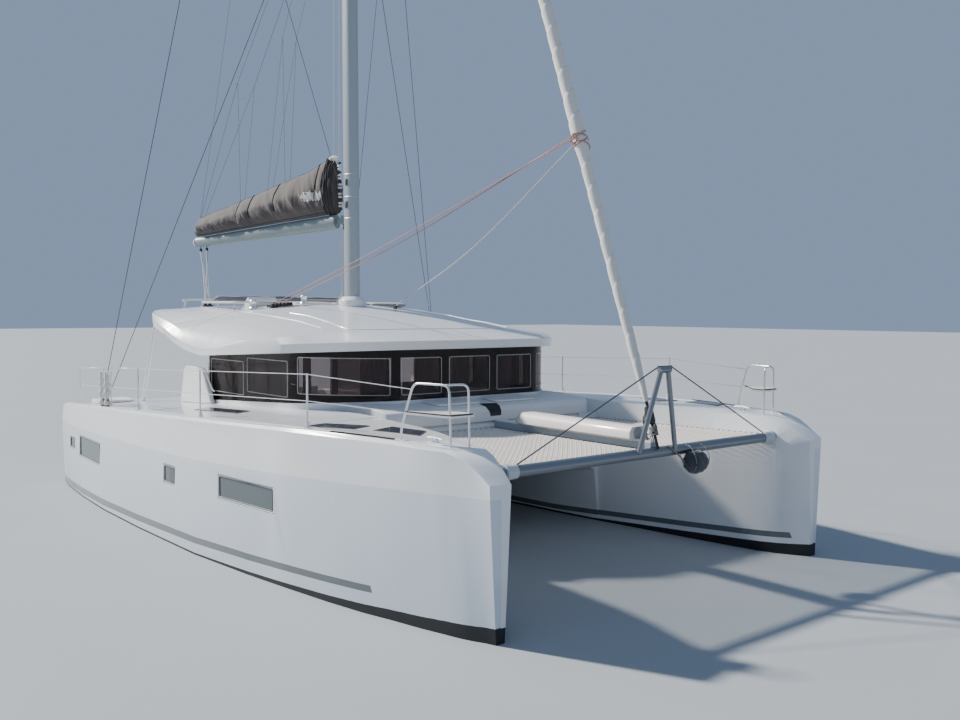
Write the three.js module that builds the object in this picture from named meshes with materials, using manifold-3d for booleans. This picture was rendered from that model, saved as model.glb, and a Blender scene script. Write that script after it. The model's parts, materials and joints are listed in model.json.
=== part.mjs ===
// A 12.9 m sailing catamaran with a hard-topped deckhouse, its sails stowed.
// Millimetres. +X to the bow, +Y to port, +Z up. The origin is on the centreline,
// amidships, at the waterline.
import * as THREE from "three";
import { mergeVertices } from "three/addons/utils/BufferGeometryUtils.js";
import Module from "manifold-3d";

const wasm = await Module();
wasm.setup();

// Driving sizes
const FIT = 0.3; // gap between pieces that touch
const SIDES = [
  { side: "port", s: 1 },
  { side: "starboard", s: -1 },
];

// Hulls
const DECKED_X = -5040; // the bridge deck's aft end
const NACELLE_X = 2900; // the bridge deck's front wall
const SEAM_Y = 1700; // where hull and bridge deck meet
const BEAM = { x: 5890, z: 1672, r: 68, half: 2560 }; // the front crossbeam
const NET_Z = 1700;
// One row per station of the port hull. keel is the bottom's height, out and inn the
// waterline's half breadths, knee the knuckle, side and top the gunwale's two edges,
// deck the inner deck edge, rise and haunch the inner side above the water.
const HULL_COLUMNS = ["x", "keel", "out", "kneeY", "kneeZ", "sideY", "sideZ", "topY", "topZ",
  "deckY", "deckZ", "riseY", "riseZ", "haunchY", "haunchZ", "inn"];
const HULL_STATIONS = [
  [-6560, -60, 3450, 3490, 1200, 3490, 1500, 3450, 1540, 2260, 1540, 2260, 920, 2300, 760, 2520],
  [-6200, -190, 3540, 3570, 1235, 3560, 1530, 3520, 1570, 2235, 1570, 2235, 920, 2255, 760, 2400],
  [-5700, -310, 3640, 3650, 1260, 3620, 1570, 3580, 1610, 2200, 1610, 2200, 920, 2225, 760, 2280],
  [-5080, -390, 3710, 3700, 1275, 3665, 1600, 3625, 1640, 2180, 1640, 2180, 920, 2200, 760, 2200],
  [-5038, -395, 3712, 3702, 1275, 3667, 1602, 3627, 1642, 1700, 1660, 1700, 860, 1990, 700, 2195],
  [-4300, -470, 3790, 3755, 1280, 3705, 1640, 3665, 1680, 1700, 1715, 1700, 860, 1975, 700, 2130],
  [-2900, -560, 3880, 3830, 1285, 3765, 1705, 3725, 1745, 1700, 1800, 1700, 860, 1965, 700, 2060],
  [-1200, -600, 3905, 3850, 1290, 3800, 1775, 3760, 1815, 1700, 1900, 1700, 860, 1960, 700, 2030],
  [900, -600, 3880, 3840, 1325, 3765, 1855, 3725, 1895, 1700, 1990, 1700, 860, 1960, 700, 2020],
  [2300, -580, 3760, 3755, 1370, 3680, 1905, 3640, 1945, 1700, 2010, 1700, 920, 2010, 760, 2120],
  [2898, -570, 3690, 3695, 1392, 3630, 1925, 3590, 1965, 1700, 2000, 1700, 1020, 2060, 860, 2180],
  [2902, -570, 3690, 3695, 1392, 3630, 1925, 3590, 1965, 2130, 1985, 2130, 1020, 2150, 860, 2180],
  [3300, -560, 3640, 3655, 1405, 3580, 1932, 3540, 1974, 2160, 1980, 2150, 1100, 2175, 880, 2230],
  [4000, -545, 3545, 3550, 1430, 3450, 1940, 3410, 1985, 2220, 1970, 2205, 1400, 2240, 900, 2310],
  [4600, -530, 3440, 3435, 1455, 3340, 1945, 3290, 1985, 2330, 1960, 2275, 1650, 2310, 900, 2375],
  [5000, -515, 3340, 3350, 1470, 3285, 1948, 3225, 1980, 2440, 1943, 2345, 1690, 2380, 900, 2430],
  [5450, -480, 3245, 3255, 1480, 3258, 1950, 3200, 1970, 2552, 1942, 2420, 1700, 2445, 900, 2490],
  [5750, -440, 3165, 3180, 1480, 3178, 1943, 3115, 1955, 2618, 1930, 2480, 1700, 2500, 900, 2545],
  [5950, -400, 3115, 3130, 1475, 3125, 1893, 3070, 1903, 2673, 1884, 2540, 1680, 2560, 890, 2610],
  [6100, -350, 3060, 3095, 1460, 3088, 1817, 3035, 1827, 2707, 1805, 2610, 1600, 2630, 880, 2680],
  [6230, -290, 3000, 3070, 1430, 3068, 1733, 3025, 1741, 2742, 1722, 2685, 1520, 2710, 860, 2760],
  [6344, -240, 2965, 3050, 1400, 3064, 1655, 3035, 1664, 2768, 1643, 2777, 1450, 2805, 840, 2845],
].map((row) => Object.fromEntries(HULL_COLUMNS.map((name, i) => [name, row[i]])));
const BOTTOM_SEGMENTS = 8;

// The stern curves down to a low platform, with steps cut between two side walls.
const STERN_PROFILE = [
  [-6060, 1700], [-6180, 1510], [-6380, 1270], [-6490, 1000], [-6545, 700], [-6556, 420], [-6520, 120],
  [-6440, -200], [-6700, -200], [-6700, 2300], [-6060, 2300],
];
const SCOOP_WALL = 90;
const SCOOP_RIM = 60;
const SCOOP_FLARE = 12; // how far the well's walls lean away from the treads
// One row per tread: its aft end, its front end and its height.
const TREADS = [
  [-6700, -5980, 300],
  [-5980, -5670, 620],
  [-5670, -5360, 950],
  [-5360, -5040, 1290],
];
// One row per recessed hull window: its aft end, front end, bottom and top.
const HULL_WINDOWS = [
  [1530, 2905, 880, 1217],
  [-265, 165, 852, 1140],
  [-4610, -3215, 712, 1108],
  [-5390, -4990, 780, 1010],
];
const WINDOW_RECESS = 22;
// The boarding ladder's pin on the port hull, and the ladder's half width and top.
const LADDER = { x: -6590, y: 2910, half: 190, z0: 340, z1: 1250 };

// Bridge deck
const UNDERSIDE_Z = 790;
const FLOOR_Z = 900;
const FOREDECK_Z = 1800;
const BRIDGE_WALL = 110;
const WELL_Y = 2130; // the inner edge of the hulls' coamings beside the foredeck

// Deckhouse, roof and what is on them
const HOUSE_Y = 2400;
const HOUSE_AFT_X = -1900;
const HOUSE_WALL = 70;
const GLASS = 12;
const SEAL = 2.5; // the joint between the glass and the white base
const DOOR_HALF = 1000; // half the gap for the doorway and the door beside it
const BAND_BOTTOM = [1995, 0.055]; // height at x = 0 and rise per millimetre forward
// The roof's plan, one row per distance from the centreline: y, front x, aft x.
const ROOF_PLAN = [
  [0, 2340, -4350],
  [700, 2325, -4345],
  [1400, 2255, -4300],
  [2000, 1880, -4160],
  [2400, 1530, -3960],
  [2650, 1150, -3720],
  [2800, 600, -3440],
  [2890, -500, -3150],
];
// Heights along the roof: x, lower edge of its rim, ridge on the centreline.
const ROOF_HEIGHTS = [
  [-4350, 3290, 3440],
  [-3450, 3200, 3520],
  [-2600, 2980, 3550],
  [-2000, 2790, 3548],
  [-1200, 2680, 3520],
  [0, 2740, 3380],
  [1000, 2790, 3215],
  [1900, 2835, 3040],
  [2280, 2855, 2985],
];
const CEILING_Z = 2800;
// The opening in the roof over the helm: x and y limits.
const HELM_OPENING = [-3520, -2040, -1780, -830];

// Rig
const MAST_X = -1165; // at the step
const MAST_RAKE = 0.012; // leaning aft, per millimetre of height
const MAST_STEP_Z = 3560;
const MAST_TOP_Z = 22000;
const MAST_RADII = [180, 120];
const BOOM_PIVOT = [-1480, 0, 5050];
const BOOM_SWING = THREE.MathUtils.degToRad(10.2);
const BOOM_DROOP = THREE.MathUtils.degToRad(2.5);
const BOOM_LENGTH = 4680;
const STAY_FOOT = [5930, 0, 1800];
const STAY_HEAD = [-1180, 0, 21850];
const CHAINPLATE = { cap: [-3515, 3672], lower: [-3360, 3641], z: 1722 };
const SPREADER_Z = 12500;
const SPREADER_TIP = [-2520, 1780];
const HOUNDS_Z = 20600;

// Underwater gear
const KEEL_BOTTOM_Z = -1250;
const SHAFT_Z = -860;
const DRIVE_X = -3900;
const RUDDER_X = -5350;
const GEAR_Y = 2930;

// Finishes
const finish = (color, roughness, metalness = 0) =>
  new THREE.MeshStandardMaterial({ color, roughness, metalness });
const GELCOAT = finish(0xeceef0, 0.25);
const DARK_GLASS = finish(0x2c2b30, 0.08);
const ALLOY = finish(0x9fa6ad, 0.35, 0.9);
const STAINLESS = finish(0xc9ccce, 0.2, 1);
const CANVAS = finish(0x55504c, 0.9);
const SAILCLOTH = finish(0xe6e4de, 0.8);
const NETTING = finish(0xd9cfc0, 0.9);
const CUSHION = finish(0xb9b2a8, 0.9);
const TIMBER = finish(0x9b7653, 0.5);
const ANTIFOUL = finish(0x16181a, 0.7);
const BRONZE = finish(0xb08d57, 0.4, 0.9);
const BLACK = finish(0x1b1c1e, 0.6);

// Solids and geometries
function toSolid(geometry) {
  const plain = geometry.clone();
  for (const name of Object.keys(plain.attributes)) {
    if (name !== "position") plain.deleteAttribute(name);
  }
  const merged = mergeVertices(plain, 1e-2);
  return new wasm.Manifold(
    new wasm.Mesh({
      numProp: 3,
      vertProperties: new Float32Array(merged.attributes.position.array),
      triVerts: new Uint32Array(merged.index.array),
    }),
  );
}

function toGeometry(solid) {
  const mesh = solid.getMesh();
  const geometry = new THREE.BufferGeometry();
  geometry.setAttribute("position", new THREE.BufferAttribute(mesh.vertProperties, 3));
  geometry.setIndex(new THREE.BufferAttribute(mesh.triVerts, 1));
  geometry.computeVertexNormals();
  return geometry;
}

const join = (...geometries) =>
  toGeometry(geometries.map(toSolid).reduce((all, next) => all.add(next)));

const cut = (geometry, ...tools) =>
  toGeometry(tools.map(toSolid).reduce((left, tool) => left.subtract(tool), toSolid(geometry)));

const common = (a, b) => toGeometry(toSolid(a).intersect(toSolid(b)));

// The geometry less a neighbour moved by the fitting gap, so that the two only touch.
const fitUnder = (geometry, neighbour) =>
  cut(geometry, neighbour.clone().translate(0, 0, -FIT));

function mirrored(geometry, s) {
  if (s > 0) return geometry;
  const copy = geometry.clone().scale(1, -1, 1);
  const order = copy.index ? copy.index.array : null;
  if (order) {
    for (let i = 0; i < order.length; i += 3) [order[i], order[i + 1]] = [order[i + 1], order[i]];
    return copy;
  }
  const xyz = copy.attributes.position.array;
  for (let i = 0; i < xyz.length; i += 9) {
    for (let k = 0; k < 3; k++) [xyz[i + k], xyz[i + 3 + k]] = [xyz[i + 3 + k], xyz[i + k]];
  }
  return copy;
}

// Basic shapes
const box = (x0, x1, y0, y1, z0, z1) =>
  new THREE.BoxGeometry(x1 - x0, y1 - y0, z1 - z0).translate((x0 + x1) / 2, (y0 + y1) / 2, (z0 + z1) / 2);

const vector = (p) => new THREE.Vector3(...p);

function rod(from, to, radius, sides = 10, radiusTo = radius) {
  const a = vector(from);
  const b = vector(to);
  const along = b.clone().sub(a);
  const turn = new THREE.Quaternion().setFromUnitVectors(
    new THREE.Vector3(0, 1, 0), along.clone().normalize());
  return new THREE.CylinderGeometry(radiusTo, radius, along.length(), sides)
    .applyQuaternion(turn)
    .translate(...a.add(b).multiplyScalar(0.5).toArray());
}

// A tube whose bends are rounded by short arcs of the given radius.
function bentTube(points, radius, bend, sides = 8) {
  const path = new THREE.CurvePath();
  const corners = points.map(vector);
  let start = corners[0];
  for (let i = 1; i < corners.length - 1; i++) {
    const corner = corners[i];
    const back = corners[i - 1].clone().sub(corner).setLength(bend).add(corner);
    const on = corners[i + 1].clone().sub(corner).setLength(bend).add(corner);
    path.add(new THREE.LineCurve3(start, back));
    path.add(new THREE.QuadraticBezierCurve3(back, corner, on));
    start = on;
  }
  path.add(new THREE.LineCurve3(start, corners[corners.length - 1]));
  const pieces = path.curves.map((curve) => {
    const steps = curve.isLineCurve3 ? 1 : 4;
    return curve.getPoints(steps).slice(1);
  });
  return sweep([path.curves[0].v1, ...pieces.flat()], radius, sides);
}

// A round tube through a list of points, closed at both ends.
function sweep(points, radius, sides = 8) {
  const rings = points.map((p, i) => {
    const before = points[Math.max(i - 1, 0)];
    const after = points[Math.min(i + 1, points.length - 1)];
    return { p, along: after.clone().sub(before).normalize() };
  });
  const first = rings[0].along;
  let up = Math.abs(first.z) > 0.9 ? new THREE.Vector3(1, 0, 0) : new THREE.Vector3(0, 0, 1);
  const sections = rings.map(({ p, along }) => {
    const across = along.clone().cross(up).normalize();
    up = across.clone().cross(along).normalize();
    return circle(sides, radius).map(([a, b]) =>
      p.clone().addScaledVector(across, a).addScaledVector(up, b).toArray());
  });
  return loft(sections);
}

const circle = (sides, radius, other = radius) =>
  Array.from({ length: sides }, (_, i) => {
    const turn = (i / sides) * 2 * Math.PI;
    return [radius * Math.cos(turn), other * Math.sin(turn)];
  });

// A closed skin over rings of equally many points, with both ends capped.
function loft(rings) {
  const count = rings[0].length;
  const points = rings.flat();
  const faces = [];
  for (let r = 0; r + 1 < rings.length; r++) {
    for (let i = 0; i < count; i++) {
      const a = r * count + i;
      const b = r * count + ((i + 1) % count);
      faces.push([a, b, b + count], [a, b + count, a + count]);
    }
  }
  faces.push(...cap(rings[0], 0, true), ...cap(rings[rings.length - 1], (rings.length - 1) * count, false));
  return outward(points, faces);
}

function cap(ring, offset, flip) {
  const origin = vector(ring[0]);
  const normal = new THREE.Vector3();
  for (let i = 1; i + 1 < ring.length; i++) {
    const u = vector(ring[i]).sub(origin);
    normal.add(u.cross(vector(ring[i + 1]).sub(origin)));
  }
  normal.normalize();
  const helper = Math.abs(normal.z) > 0.9 ? new THREE.Vector3(1, 0, 0) : new THREE.Vector3(0, 0, 1);
  const across = helper.cross(normal).normalize();
  const up = normal.clone().cross(across);
  const flat = ring.map((p) => {
    const d = vector(p).sub(origin);
    return new THREE.Vector2(d.dot(across), d.dot(up));
  });
  return THREE.ShapeUtils.triangulateShape(flat, []).map(([a, b, c]) =>
    flip ? [offset + a, offset + c, offset + b] : [offset + a, offset + b, offset + c]);
}

function outward(points, faces) {
  let volume = 0;
  for (const [a, b, c] of faces) {
    volume += vector(points[a]).dot(vector(points[b]).cross(vector(points[c])));
  }
  const turned = volume < 0 ? faces.map(([a, b, c]) => [a, c, b]) : faces;
  const geometry = new THREE.BufferGeometry();
  geometry.setAttribute("position", new THREE.Float32BufferAttribute(points.flat(), 3));
  geometry.setIndex(turned.flat());
  geometry.computeVertexNormals();
  return geometry;
}

// A plate from an outline in the XZ plane, between two values of y.
const sidePlate = (outline, y0, y1) =>
  loft([y0, y1].map((y) => outline.map(([x, z]) => [x, y, z])));

// A slab from an outline in the XY plane, between two heights.
const slab = (outline, z0, z1) =>
  loft([z0, z1].map((z) => outline.map(([x, y]) => [x, y, z])));

// A box with its upright edges rounded.
function softBox(x0, x1, y0, y1, z0, z1, radius = 40) {
  const corners = [
    [x1 - radius, y1 - radius, 0],
    [x0 + radius, y1 - radius, 1],
    [x0 + radius, y0 + radius, 2],
    [x1 - radius, y0 + radius, 3],
  ];
  const outline = corners.flatMap(([cx, cy, quarter]) =>
    [0, 1 / 3, 2 / 3, 1].map((part) => {
      const turn = (quarter + part) * (Math.PI / 2);
      return [cx + radius * Math.cos(turn), cy + radius * Math.sin(turn)];
    }));
  return slab(outline, z0, z1);
}

// A value read off a table of rows that start with x.
function along(rows, column, x) {
  let i = 0;
  while (i + 2 < rows.length && rows[i + 1][0] < x) i++;
  const [a, b] = [rows[i], rows[i + 1]];
  const part = THREE.MathUtils.clamp((x - a[0]) / (b[0] - a[0]), 0, 1);
  return a[column] + (b[column] - a[column]) * part;
}

// The assembly
const boat = new THREE.Group();

function place(name, geometry, material, parent = boat) {
  const mesh = new THREE.Mesh(geometry, material);
  mesh.name = name;
  parent.add(mesh);
  return geometry;
}

// Hulls
function hullRing(row) {
  const middle = (row.out + row.inn) / 2;
  const half = (row.out - row.inn) / 2;
  const bottom = [];
  for (let i = 0; i <= BOTTOM_SEGMENTS; i++) {
    const turn = (i / BOTTOM_SEGMENTS) * Math.PI;
    bottom.push([row.x, middle + half * Math.cos(turn), row.keel * Math.sin(turn)]);
  }
  return [
    ...bottom,
    [row.x, row.haunchY, row.haunchZ],
    [row.x, row.riseY, row.riseZ],
    [row.x, row.deckY, row.deckZ],
    [row.x, row.topY, row.topZ],
    [row.x, row.sideY, row.sideZ],
    [row.x, row.kneeY, row.kneeZ],
  ];
}

// The hull's outer half breadth at a height below the knuckle.
function hullBreadth(x, z) {
  const rows = HULL_STATIONS.map((row) => [row.x, row.out + ((row.kneeY - row.out) * z) / row.kneeZ]);
  return along(rows, 1, x);
}

// Where the hull's inner side stands at a height.
function innerSide(x, z) {
  const rows = HULL_STATIONS.map((row) =>
    [row.x, row.inn + (row.haunchY - row.inn) * Math.min(z / row.haunchZ, 1)]);
  return along(rows, 1, x);
}

function sternTools() {
  const profile = sidePlate(STERN_PROFILE, 1000, 4200);
  const tops = HULL_STATIONS.map((row) => [row.x, row.topY]);
  const treads = TREADS.map(([x0, x1, z]) => {
    const rings = [[z, 0], [2400, SCOOP_FLARE]].map(([height, flare]) => {
      const inner = (x) => innerSide(x, z) + SCOOP_WALL - flare;
      const outer = (x) => along(tops, 1, x) - SCOOP_RIM + flare;
      const front = x1 + FIT + flare;
      return [[x0, inner(x0)], [x0, outer(x0)], [front, outer(front)], [front, inner(front)]]
        .map(([x, y]) => [x, y, height]);
    });
    return loft(rings);
  });
  return [profile, ...treads];
}

function windowTools() {
  return HULL_WINDOWS.map(([x0, x1, z0, z1]) => {
    const middle = (z0 + z1) / 2;
    const outline = [
      [x0, hullBreadth(x0, middle) - WINDOW_RECESS],
      [x1, hullBreadth(x1, middle) - WINDOW_RECESS],
      [x1, 4100],
      [x0, 4100],
    ];
    return slab(outline, z0, z1);
  });
}

function hull() {
  const well = softBox(-1000, 3050, 0, WELL_Y, FOREDECK_Z, 2400, 100);
  const beamSocket = rod([BEAM.x, 2000, BEAM.z], [BEAM.x, BEAM.half + 2, BEAM.z], BEAM.r + 2, 20);
  return cut(loft(HULL_STATIONS.map(hullRing)), well, beamSocket, ...sternTools(), ...windowTools());
}

// Underwater pieces
function foilRing(leading, trailing, y, thickness, z) {
  const chord = leading - trailing;
  const half = thickness / 2;
  const stations = [[0, 0.18], [0.05, 0.62], [0.18, 0.95], [0.35, 1], [0.62, 0.72], [0.85, 0.34], [1, 0.06]];
  const near = stations.map(([along01, part]) => [leading - chord * along01, y + half * part, z]);
  const far = stations.map(([along01, part]) => [leading - chord * along01, y - half * part, z]);
  return [...near, ...far.reverse()];
}

function keel(hullShape) {
  const fin = loft([
    foilRing(1500, -1750, GEAR_Y, 330, -420),
    foilRing(1350, -1600, GEAR_Y, 300, -900),
    foilRing(1100, -1450, GEAR_Y, 260, KEEL_BOTTOM_Z + 60),
    foilRing(1000, -1400, GEAR_Y, 180, KEEL_BOTTOM_Z),
  ]);
  return fitUnder(fin, hullShape);
}

function rudder() {
  const stock = rod([RUDDER_X, GEAR_Y, -500], [RUDDER_X, GEAR_Y, -368], 32, 12);
  const blade = loft([
    foilRing(RUDDER_X + 150, RUDDER_X - 330, GEAR_Y, 84, -400),
    foilRing(RUDDER_X + 120, RUDDER_X - 270, GEAR_Y, 60, -1120),
  ]);
  return join(blade, stock);
}

function saildrive(hullShape) {
  const leg = loft([
    foilRing(DRIVE_X + 190, DRIVE_X - 110, GEAR_Y, 110, -350),
    foilRing(DRIVE_X + 150, DRIVE_X - 130, GEAR_Y, 90, SHAFT_Z),
  ]);
  const torpedo = rod([DRIVE_X + 120, GEAR_Y, SHAFT_Z], [DRIVE_X - 200, GEAR_Y, SHAFT_Z], 62, 14, 50);
  const foot = loft([
    foilRing(DRIVE_X + 110, DRIVE_X - 110, GEAR_Y, 40, SHAFT_Z - 20),
    foilRing(DRIVE_X + 20, DRIVE_X - 120, GEAR_Y, 22, SHAFT_Z - 200),
  ]);
  return fitUnder(join(leg, torpedo, foot), hullShape);
}

function propeller() {
  const hubX = DRIVE_X - 210;
  const hub = rod([hubX, GEAR_Y, SHAFT_Z], [hubX - 110, GEAR_Y, SHAFT_Z], 46, 16, 34);
  const blades = [0, 1, 2].map((i) =>
    new THREE.CylinderGeometry(1, 1, 1, 12)
      .rotateZ(Math.PI / 2)
      .scale(14, 62, 92)
      .applyMatrix4(bladeMatrix(i, hubX - 55)));
  return join(hub, ...blades);
}

// Stands a blade on the hub, pitched, one third of a turn from the last.
function bladeMatrix(i, x) {
  const pitch = new THREE.Matrix4().makeRotationZ(0.45);
  const outwards = new THREE.Matrix4().makeTranslation(0, 0, 120);
  const around = new THREE.Matrix4().makeRotationX((i * 2 * Math.PI) / 3);
  const there = new THREE.Matrix4().makeTranslation(x, GEAR_Y, SHAFT_Z);
  return there.multiply(around).multiply(outwards).multiply(pitch);
}

// Two lugs on the port transom hold the ladder's pin.
function ladderLugs() {
  const { x, y, half, z0 } = LADDER;
  const hole = rod([x, y - 400, z0], [x, y + 400, z0], 10, 12);
  return [-1, 1].map((end) => {
    const middle = y + end * (half + 28);
    return cut(box(x - 20, -6480, middle - 8, middle + 8, z0 - 70, z0 + 24), hole);
  });
}

const hullShape = hull();
place("hull_port", join(hullShape, ...ladderLugs()), GELCOAT);
place("hull_starboard", mirrored(hullShape, -1), GELCOAT);
for (const { side, s } of SIDES) {
  place("keel_" + side, mirrored(keel(hullShape), s), ANTIFOUL);
  place("saildrive_" + side, mirrored(saildrive(hullShape), s), ANTIFOUL);
  place("propeller_" + side, mirrored(propeller(), s), BRONZE);
  place("rudder_" + side, mirrored(rudder(), s), ANTIFOUL);
}

// Bridge deck: floor, saloon and cockpit wells, foredeck
function bridgeDeck() {
  const profile = [
    [DECKED_X, UNDERSIDE_Z + 120],
    [DECKED_X + 160, UNDERSIDE_Z],
    [2250, UNDERSIDE_Z],
    [2620, 920],
    [NACELLE_X, 1230],
    [NACELLE_X, FOREDECK_Z - 60],
    [NACELLE_X - 60, FOREDECK_Z],
    [1500, FOREDECK_Z],
    [HOUSE_AFT_X, FOREDECK_Z],
    [DECKED_X, 1660],
  ];
  const y = SEAM_Y - FIT;
  const inside = y - BRIDGE_WALL;
  return cut(
    sidePlate(profile, -y, y),
    softBox(HOUSE_AFT_X + 60, 1780, -inside, inside, FLOOR_Z, 2400, 60),
    softBox(DECKED_X + 120, HOUSE_AFT_X - 160, -inside, inside, FLOOR_Z + 20, 2400, 60),
    box(HOUSE_AFT_X - 200, HOUSE_AFT_X + 100, -DOOR_HALF, DOOR_HALF, FLOOR_Z + 20, 2400),
  );
}

// The raised foredeck in front of the deckhouse: its side profile and half width.
const FOREDECK_PROFILE = [
  [1750, FOREDECK_Z + FIT], [1750, 2080], [2160, 2080], [2700, 2040], [2810, 2008], [2868, 1940],
  [2890, FOREDECK_Z + FIT],
];
const FOREDECK_HALF = 1960;
const LID_TILT = Math.atan2(2080 - 2040, 2700 - 2160);

function foredeckLocker() {
  const block = sidePlate(FOREDECK_PROFILE, -FOREDECK_HALF, FOREDECK_HALF);
  const plan = softBox(1000, 2900, -FOREDECK_HALF, FOREDECK_HALF, 1700, 2200, 140);
  return cut(common(block, plan), slab(housePlan(-28), 1700, 2200));
}

const bridgeDeckShape = place("bridge_deck", bridgeDeck(), GELCOAT);
place("foredeck_locker", foredeckLocker(), GELCOAT);
for (const { side, s } of SIDES) {
  const lid = softBox(-200, 200, 150, 950, 6, 34, 60).rotateY(LID_TILT).translate(2480, 0, 2056);
  place("locker_lid_" + side, mirrored(lid, s), GELCOAT);
}

// Roof
function roofRim(x) {
  return along(ROOF_HEIGHTS, 1, x);
}

// The roof's upper surface falls away to its rim on both sides.
function roofTop(x, y) {
  const ridge = along(ROOF_HEIGHTS, 2, x);
  const rim = roofRim(x) + 110;
  const fall = Math.pow(Math.max(0, 1 - Math.pow(Math.abs(y) / 2890, 2.6)), 0.6);
  return rim + Math.max(ridge - rim, 20) * fall;
}

const roofUnder = (x, y) => (Math.abs(y) < 2500 ? Math.max(CEILING_Z, roofRim(x)) : roofRim(x));

function roofRing(y, front, aft) {
  const parts = [0, 0.035, 0.12, 0.24, 0.38, 0.52, 0.66, 0.78, 0.88, 0.96, 1];
  const xs = parts.map((part) => front + (aft - front) * part);
  const over = xs.map((x) => [x, y, roofTop(x, y)]);
  const under = xs.slice(1, -1).map((x) => [x, y, roofUnder(x, y)]).reverse();
  over[0][2] = Math.min(over[0][2], roofRim(front) + 130);
  return [...over, [aft + 30, y, roofRim(aft)], ...under, [front - 30, y, roofRim(front)]];
}

function roof() {
  const rows = [...ROOF_PLAN, [2480, 1440, -3890], [2520, 1390, -3850]].sort((a, b) => a[0] - b[0]);
  const port = rows.slice(1).map(([y, front, aft]) => roofRing(y, front, aft));
  const starboard = rows.map(([y, front, aft]) => roofRing(-y, front, aft)).reverse();
  return cut(loft([...starboard, ...port]), softBox(...HELM_OPENING, 2500, 3900, 110));
}

const roofShape = roof();
place("roof", roofShape, GELCOAT);

// Deckhouse: a wall around the saloon, its glass, the aft bulkhead and the door
function housePlan(inset) {
  const y = HOUSE_Y - inset;
  const front = 2220 - inset;
  const corner = new THREE.CubicBezierCurve(
    new THREE.Vector2(700, y), new THREE.Vector2(1330, y),
    new THREE.Vector2(1660 - 0.7 * inset, 2120 - inset), new THREE.Vector2(2180 - inset, 1420 - 0.5 * inset));
  const bow = new THREE.QuadraticBezierCurve(
    new THREE.Vector2(2180 - inset, 1420 - 0.5 * inset), new THREE.Vector2(front, 1330 - 0.5 * inset),
    new THREE.Vector2(front, 1180));
  const port = [...corner.getPoints(7), ...bow.getPoints(2).slice(1), { x: front, y: 600 }, { x: front, y: 0 }]
    .map((p) => [p.x, p.y]);
  const starboard = port.slice(0, -1).reverse().map(([x, yy]) => [x, -yy]);
  return [[HOUSE_AFT_X, y], ...port, ...starboard, [HOUSE_AFT_X, -y]];
}

// A band that follows the deckhouse's plan, between two insets and two sloped heights.
function houseBand(outer, inner, low, high) {
  const glassLine = housePlan(0);
  const inside = housePlan(inner);
  const rings = housePlan(outer).map(([x, y], i) => {
    const [xi, yi] = inside[i];
    const [bottom, top] = [low(glassLine[i][0]), high(glassLine[i][0])];
    return [[x, y, bottom], [x, y, top], [xi, yi, top], [xi, yi, bottom]];
  });
  return loft(rings);
}

const bandLow = (x) => BAND_BOTTOM[0] + BAND_BOTTOM[1] * x;

// One row per window opening of one side: centre x, y, z, facing in degrees from
// port, width.
const PANES = [
  { x: -1200, y: HOUSE_Y, z: 2325, facing: 0, width: 1240 },
  { x: 200, y: HOUSE_Y, z: 2393, facing: 0, width: 1330 },
  { x: 1626, y: 1892, z: 2462, facing: -40.9, width: 1432 },
  { x: 2220, y: 908, z: 2462, facing: -90, width: 744 },
];
const PANE_HEIGHT = 560;
const PANE_DEPTH = 620;

function paneTools() {
  const tools = PANES.flatMap(({ x, y, z, facing, width }) =>
    SIDES.map(({ s }) =>
      new THREE.BoxGeometry(width, PANE_DEPTH, PANE_HEIGHT)
        .rotateZ(THREE.MathUtils.degToRad(facing) * s)
        .translate(x, y * s, z)));
  return [...tools, box(1900, 2400, -408, 408, 2182, 2742)];
}

const roofAbove = roofShape.clone().translate(0, 0, -FIT);
const deckBelow = [hullShape, mirrored(hullShape, -1), bridgeDeckShape]
  .map((shape) => shape.clone().translate(0, 0, FIT));

function deckhouseFrame() {
  const wall = houseBand(GLASS + FIT, HOUSE_WALL, bandLow, () => 2900);
  return cut(wall, roofAbove, ...paneTools());
}

// The white base under the glass is thicker, and stands on the decks.
function deckhouseBase() {
  const band = houseBand(-25, HOUSE_WALL, () => FOREDECK_Z - 60, (x) => bandLow(x) - SEAL);
  return cut(band, ...deckBelow);
}

// The glass band bends round the front in one piece, with a flat piece on each side.
const GLASS_BREAK_X = 905;

function glazing(...others) {
  const band = houseBand(0, GLASS, bandLow, () => 2900);
  return cut(band, roofAbove, ...others);
}

const aheadOfBreak = box(GLASS_BREAK_X, 3000, -4000, 4000, 1500, 3200);
const behindBreak = box(-3000, GLASS_BREAK_X + 3, -4000, 4000, 1500, 3200);

place("deckhouse_frame", deckhouseFrame(), BLACK);
place("deckhouse_base", deckhouseBase(), GELCOAT);
place("glazing_front", glazing(behindBreak), DARK_GLASS);
for (const { side, s } of SIDES) {
  const otherSide = s > 0 ? box(-3000, 3000, -4000, 0, 1500, 3200) : box(-3000, 3000, 0, 4000, 1500, 3200);
  place("glazing_" + side, glazing(aheadOfBreak, otherSide), DARK_GLASS);
}

// Aft bulkhead with a doorway, and the sliding door beside it
const BULKHEAD = { x0: HOUSE_AFT_X - 60, x1: HOUSE_AFT_X - FIT };
const DOORWAY = { y0: -900, y1: 0, top: 2690 };
const DOOR = { x0: HOUSE_AFT_X - 105, x1: HOUSE_AFT_X - 68, y0: 25, y1: 945, z0: FLOOR_Z + 26, z1: 2710 };

function aftBulkhead() {
  const { x0, x1 } = BULKHEAD;
  const foot = FLOOR_Z + 20 + FIT;
  const half = DOOR_HALF - FIT;
  const wide = box(x0, x1, -HOUSE_Y, HOUSE_Y, 1700, 2900);
  const middle = box(x0, x1, -half, half, foot, 2000);
  const through = [x0 - 50, x1 + 50];
  return cut(
    join(wide, middle), roofAbove, ...deckBelow,
    box(...through, DOORWAY.y0, DOORWAY.y1, 600, DOORWAY.top),
    box(...through, 140, 880, 1150, 2600),
    box(...through, 1120, 2260, 2010, 2620),
  );
}

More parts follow.
